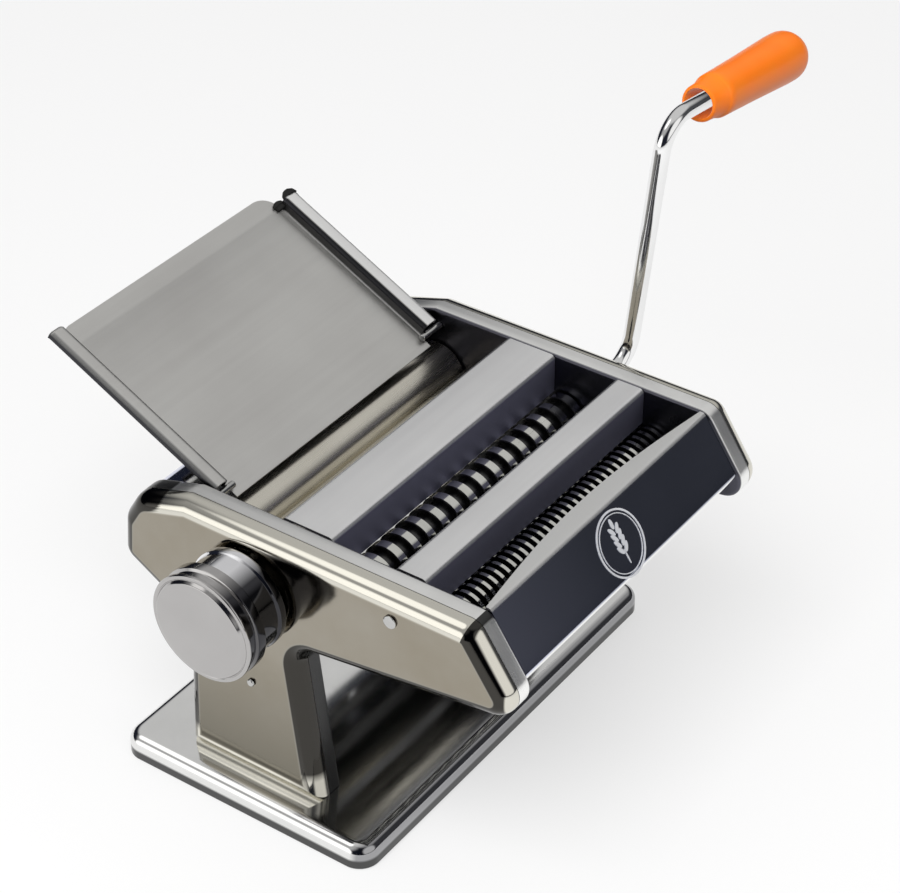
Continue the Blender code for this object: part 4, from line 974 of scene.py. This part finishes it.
def buildGrip(spot, way):
    # Sizes in mm, from the mouth to the domed end
    grip = {"length": 84.0, "mouth": 8.0, "waist": 9.6, "radius": 11.2, "recess": 15.0, "hollow": 6.4,
            "bore": 3.9, "boreEnd": 63.5}
    end, mouth, waist, r, recess, hollow, bore, boreEnd = grip.values()
    profile = [(end, 0)]
    for index in range(1, 13):
        angle = math.radians(90 * index / 12)
        profile.append((end - r + r * math.cos(angle), r * math.sin(angle)))
    run = ((end - r - 6, r), (end * 0.45, waist + 0.6), (12.5, waist))
    for first, second in zip(run, run[1:]):
        profile += [tuple(a + (b - a) * k / 8 for a, b in zip(first, second)) for k in range(8)]
    profile += [(12.5, waist), (11.6, waist - 0.5), (11.0, mouth + 0.5), (1.2, mouth), (0.4, mouth - 0.25),
                (0, mouth - 0.7), (0, hollow + 0.3), (0.4, hollow), (recess, hollow), (recess, bore),
                (boreEnd, bore), (boreEnd, 0)]
    turn = Vector((0, 0, 1)).rotation_difference(way).to_matrix().to_4x4()
    piece = turnedPiece("grip_moulded", inMm(profile), "grip", "grip", ["grip"], spot, 96,
                        turn, smoothTo=45.0)
    piece.visible_glossy = False  # no orange mirrored in the chrome


def dressNodes():
    # Nodes whose shape is right keep it and get their finish
    keep = {"gear": ("_gear",), "blade": ("_scraper", "_comb_"), "bush": ("_bush_",)}
    dressed = 0
    for finish, marks in keep.items():
        for name in [name for name in nodes if any(mark in name for mark in marks)]:
            for slot in nodes[name].material_slots:
                slot.material = finishes[finish]
            dressed += 1
    print("kept nodes dressed:", dressed)


def buildFloor():
    floor = {"size": 12.0, "colour": (0.34, 0.34, 0.34), "glow": 0.58}
    mesh = bpy.data.meshes.new("studio_floor")
    mesh.from_pydata([(floor["size"] * x, floor["size"] * y, 0) for x, y in quarters], [], [(0, 1, 2, 3)])
    piece = bpy.data.objects.new("studio_floor", mesh)
    bpy.context.scene.collection.objects.link(piece)
    material = bpy.data.materials.new("studio_floor_paint")
    material.use_nodes = True
    tree = material.node_tree
    shader = tree.nodes["Principled BSDF"]
    shader.inputs["Base Color"].default_value = (*floor["colour"], 1)
    shader.inputs["Roughness"].default_value = 0.9
    shader.inputs["Specular IOR Level"].default_value = 0.1
    path = tree.nodes.new("ShaderNodeLightPath")
    seen = combine(tree, "MAXIMUM", path.outputs["Is Camera Ray"], path.outputs["Is Glossy Ray"])
    seen = combine(tree, "MAXIMUM", seen, path.outputs["Is Transmission Ray"])
    shader.inputs["Emission Color"].default_value = (1, 1, 1, 1)
    tree.links.new(combine(tree, "MULTIPLY", seen, floor["glow"]), shader.inputs["Emission Strength"])
    mesh.materials.append(material)


def addSoftbox(tree, direction, aim, low, high):
    # How far a direction lies inside a round softbox, 0 to 1
    dot = addNode(tree, "VectorMath", {0: direction, 1: Vector(aim).normalized()}, operation="DOT_PRODUCT")
    ends = {"Value": dot.outputs["Value"], "From Min": low, "From Max": high}
    return addNode(tree, "MapRange", ends, interpolation_type="SMOOTHSTEP").outputs["Result"]


def addGlow(tree, under, direction, box):
    # Lays one softbox over the light gathered so far
    inside = addSoftbox(tree, direction, box["aim"], *box["edge"])
    return combine(tree, "MAXIMUM", under, combine(tree, "MULTIPLY", inside, box["level"]))


def buildRoom():
    # A dim ceiling, bright softboxes at the left, above the left rear and in front, dark elsewhere
    room = {"dark": (0.012, 0.014, 0.022), "light": (1.6, 1.59, 1.57), "horizon": (0.015, 0.11)}
    boxes = ({"aim": (0.35, 0.12, 0.93), "edge": (0.55, 0.80), "level": 0.38},  # ceiling
             {"aim": (0.66, -0.70, 0.22), "edge": (0.70, 0.95), "level": 0.035},  # right front, all but dark
             {"aim": (-0.50, 0.35, 0.79), "edge": (0.75, 0.95), "level": 0.26},  # wide glow above the left
             {"aim": (-0.32, 0.47, 0.82), "edge": (0.93, 0.985), "level": 0.88},  # above the left rear
             {"aim": (-0.08, -0.93, 0.36), "edge": (0.80, 0.92), "level": 0.60})  # front
    leftBox = {"aim": (-0.87, 0.47, 0.08), "edge": (0.86, 0.955), "level": 0.92}
    world = bpy.data.worlds.new("studio_room")
    bpy.context.scene.world = world
    world.use_nodes = True
    tree = world.node_tree
    background = tree.nodes["Background"]
    where = tree.nodes.new("ShaderNodeTexCoord").outputs["Generated"]
    light = 0.0
    for box in boxes:
        light = addGlow(tree, light, where, box)
    light = combine(tree, "MULTIPLY", light, addSoftbox(tree, where, (0, 0, 1), *room["horizon"]))
    light = addGlow(tree, light, where, leftBox)
    tree.links.new(addBlend(tree, light, room["dark"], room["light"]), background.inputs["Color"])
    background.inputs["Strength"].default_value = 1.0


def buildLamps():
    # Most of the key light leaves the polished metal alone, so that no pale sheet glares from any side
    key = {"spot": Vector((-1.0, -0.35, 1.7)), "aim": Vector((0, 0, 0.1)), "size": 1.5, "energy": 34.5,
           "glint": 5.0}
    for name, energy, mirrored in (("key_lamp", key["energy"], False), ("glint_lamp", key["glint"], True)):
        lamp = bpy.data.lights.new(name, "AREA")
        lamp.shape = "RECTANGLE"
        lamp.size = key["size"]
        lamp.size_y = key["size"] * 0.7
        lamp.energy = energy
        stand = bpy.data.objects.new(name, lamp)
        stand.location = key["spot"]
        stand.rotation_euler = (key["aim"] - key["spot"]).to_track_quat("-Z", "Y").to_euler()
        stand.visible_glossy = mirrored
        bpy.context.scene.collection.objects.link(stand)
    print("studio set up")


def buildCamera():
    view = {"spot": Vector((-0.67925, -0.51023, 0.73353)), "aim": Vector((0.05987, 0.01169, 0.080)),
            "lens": 105.04, "sensor": 36.0, "near": 0.02, "far": 60.0}
    data = bpy.data.cameras.new("photo_camera")
    data.lens = view["lens"]
    data.sensor_width = view["sensor"]
    data.sensor_fit = "HORIZONTAL"
    data.clip_start = view["near"]
    data.clip_end = view["far"]
    camera = bpy.data.objects.new("photo_camera", data)
    camera.location = view["spot"]
    camera.rotation_euler = (view["aim"] - view["spot"]).to_track_quat("-Z", "Y").to_euler()
    bpy.context.scene.collection.objects.link(camera)
    bpy.context.scene.camera = camera
    bpy.context.scene.view_settings.view_transform = "Standard"
    print("camera set")


buildCamera()
buildCasings()
buildSidePlates()
buildBase()
buildFeet()
buildCovers()
buildBadge()
buildTray()
buildFixings()
buildRollers()
buildKnob()
buildCrank()
dressNodes()
buildFloor()
buildRoom()
buildLamps()
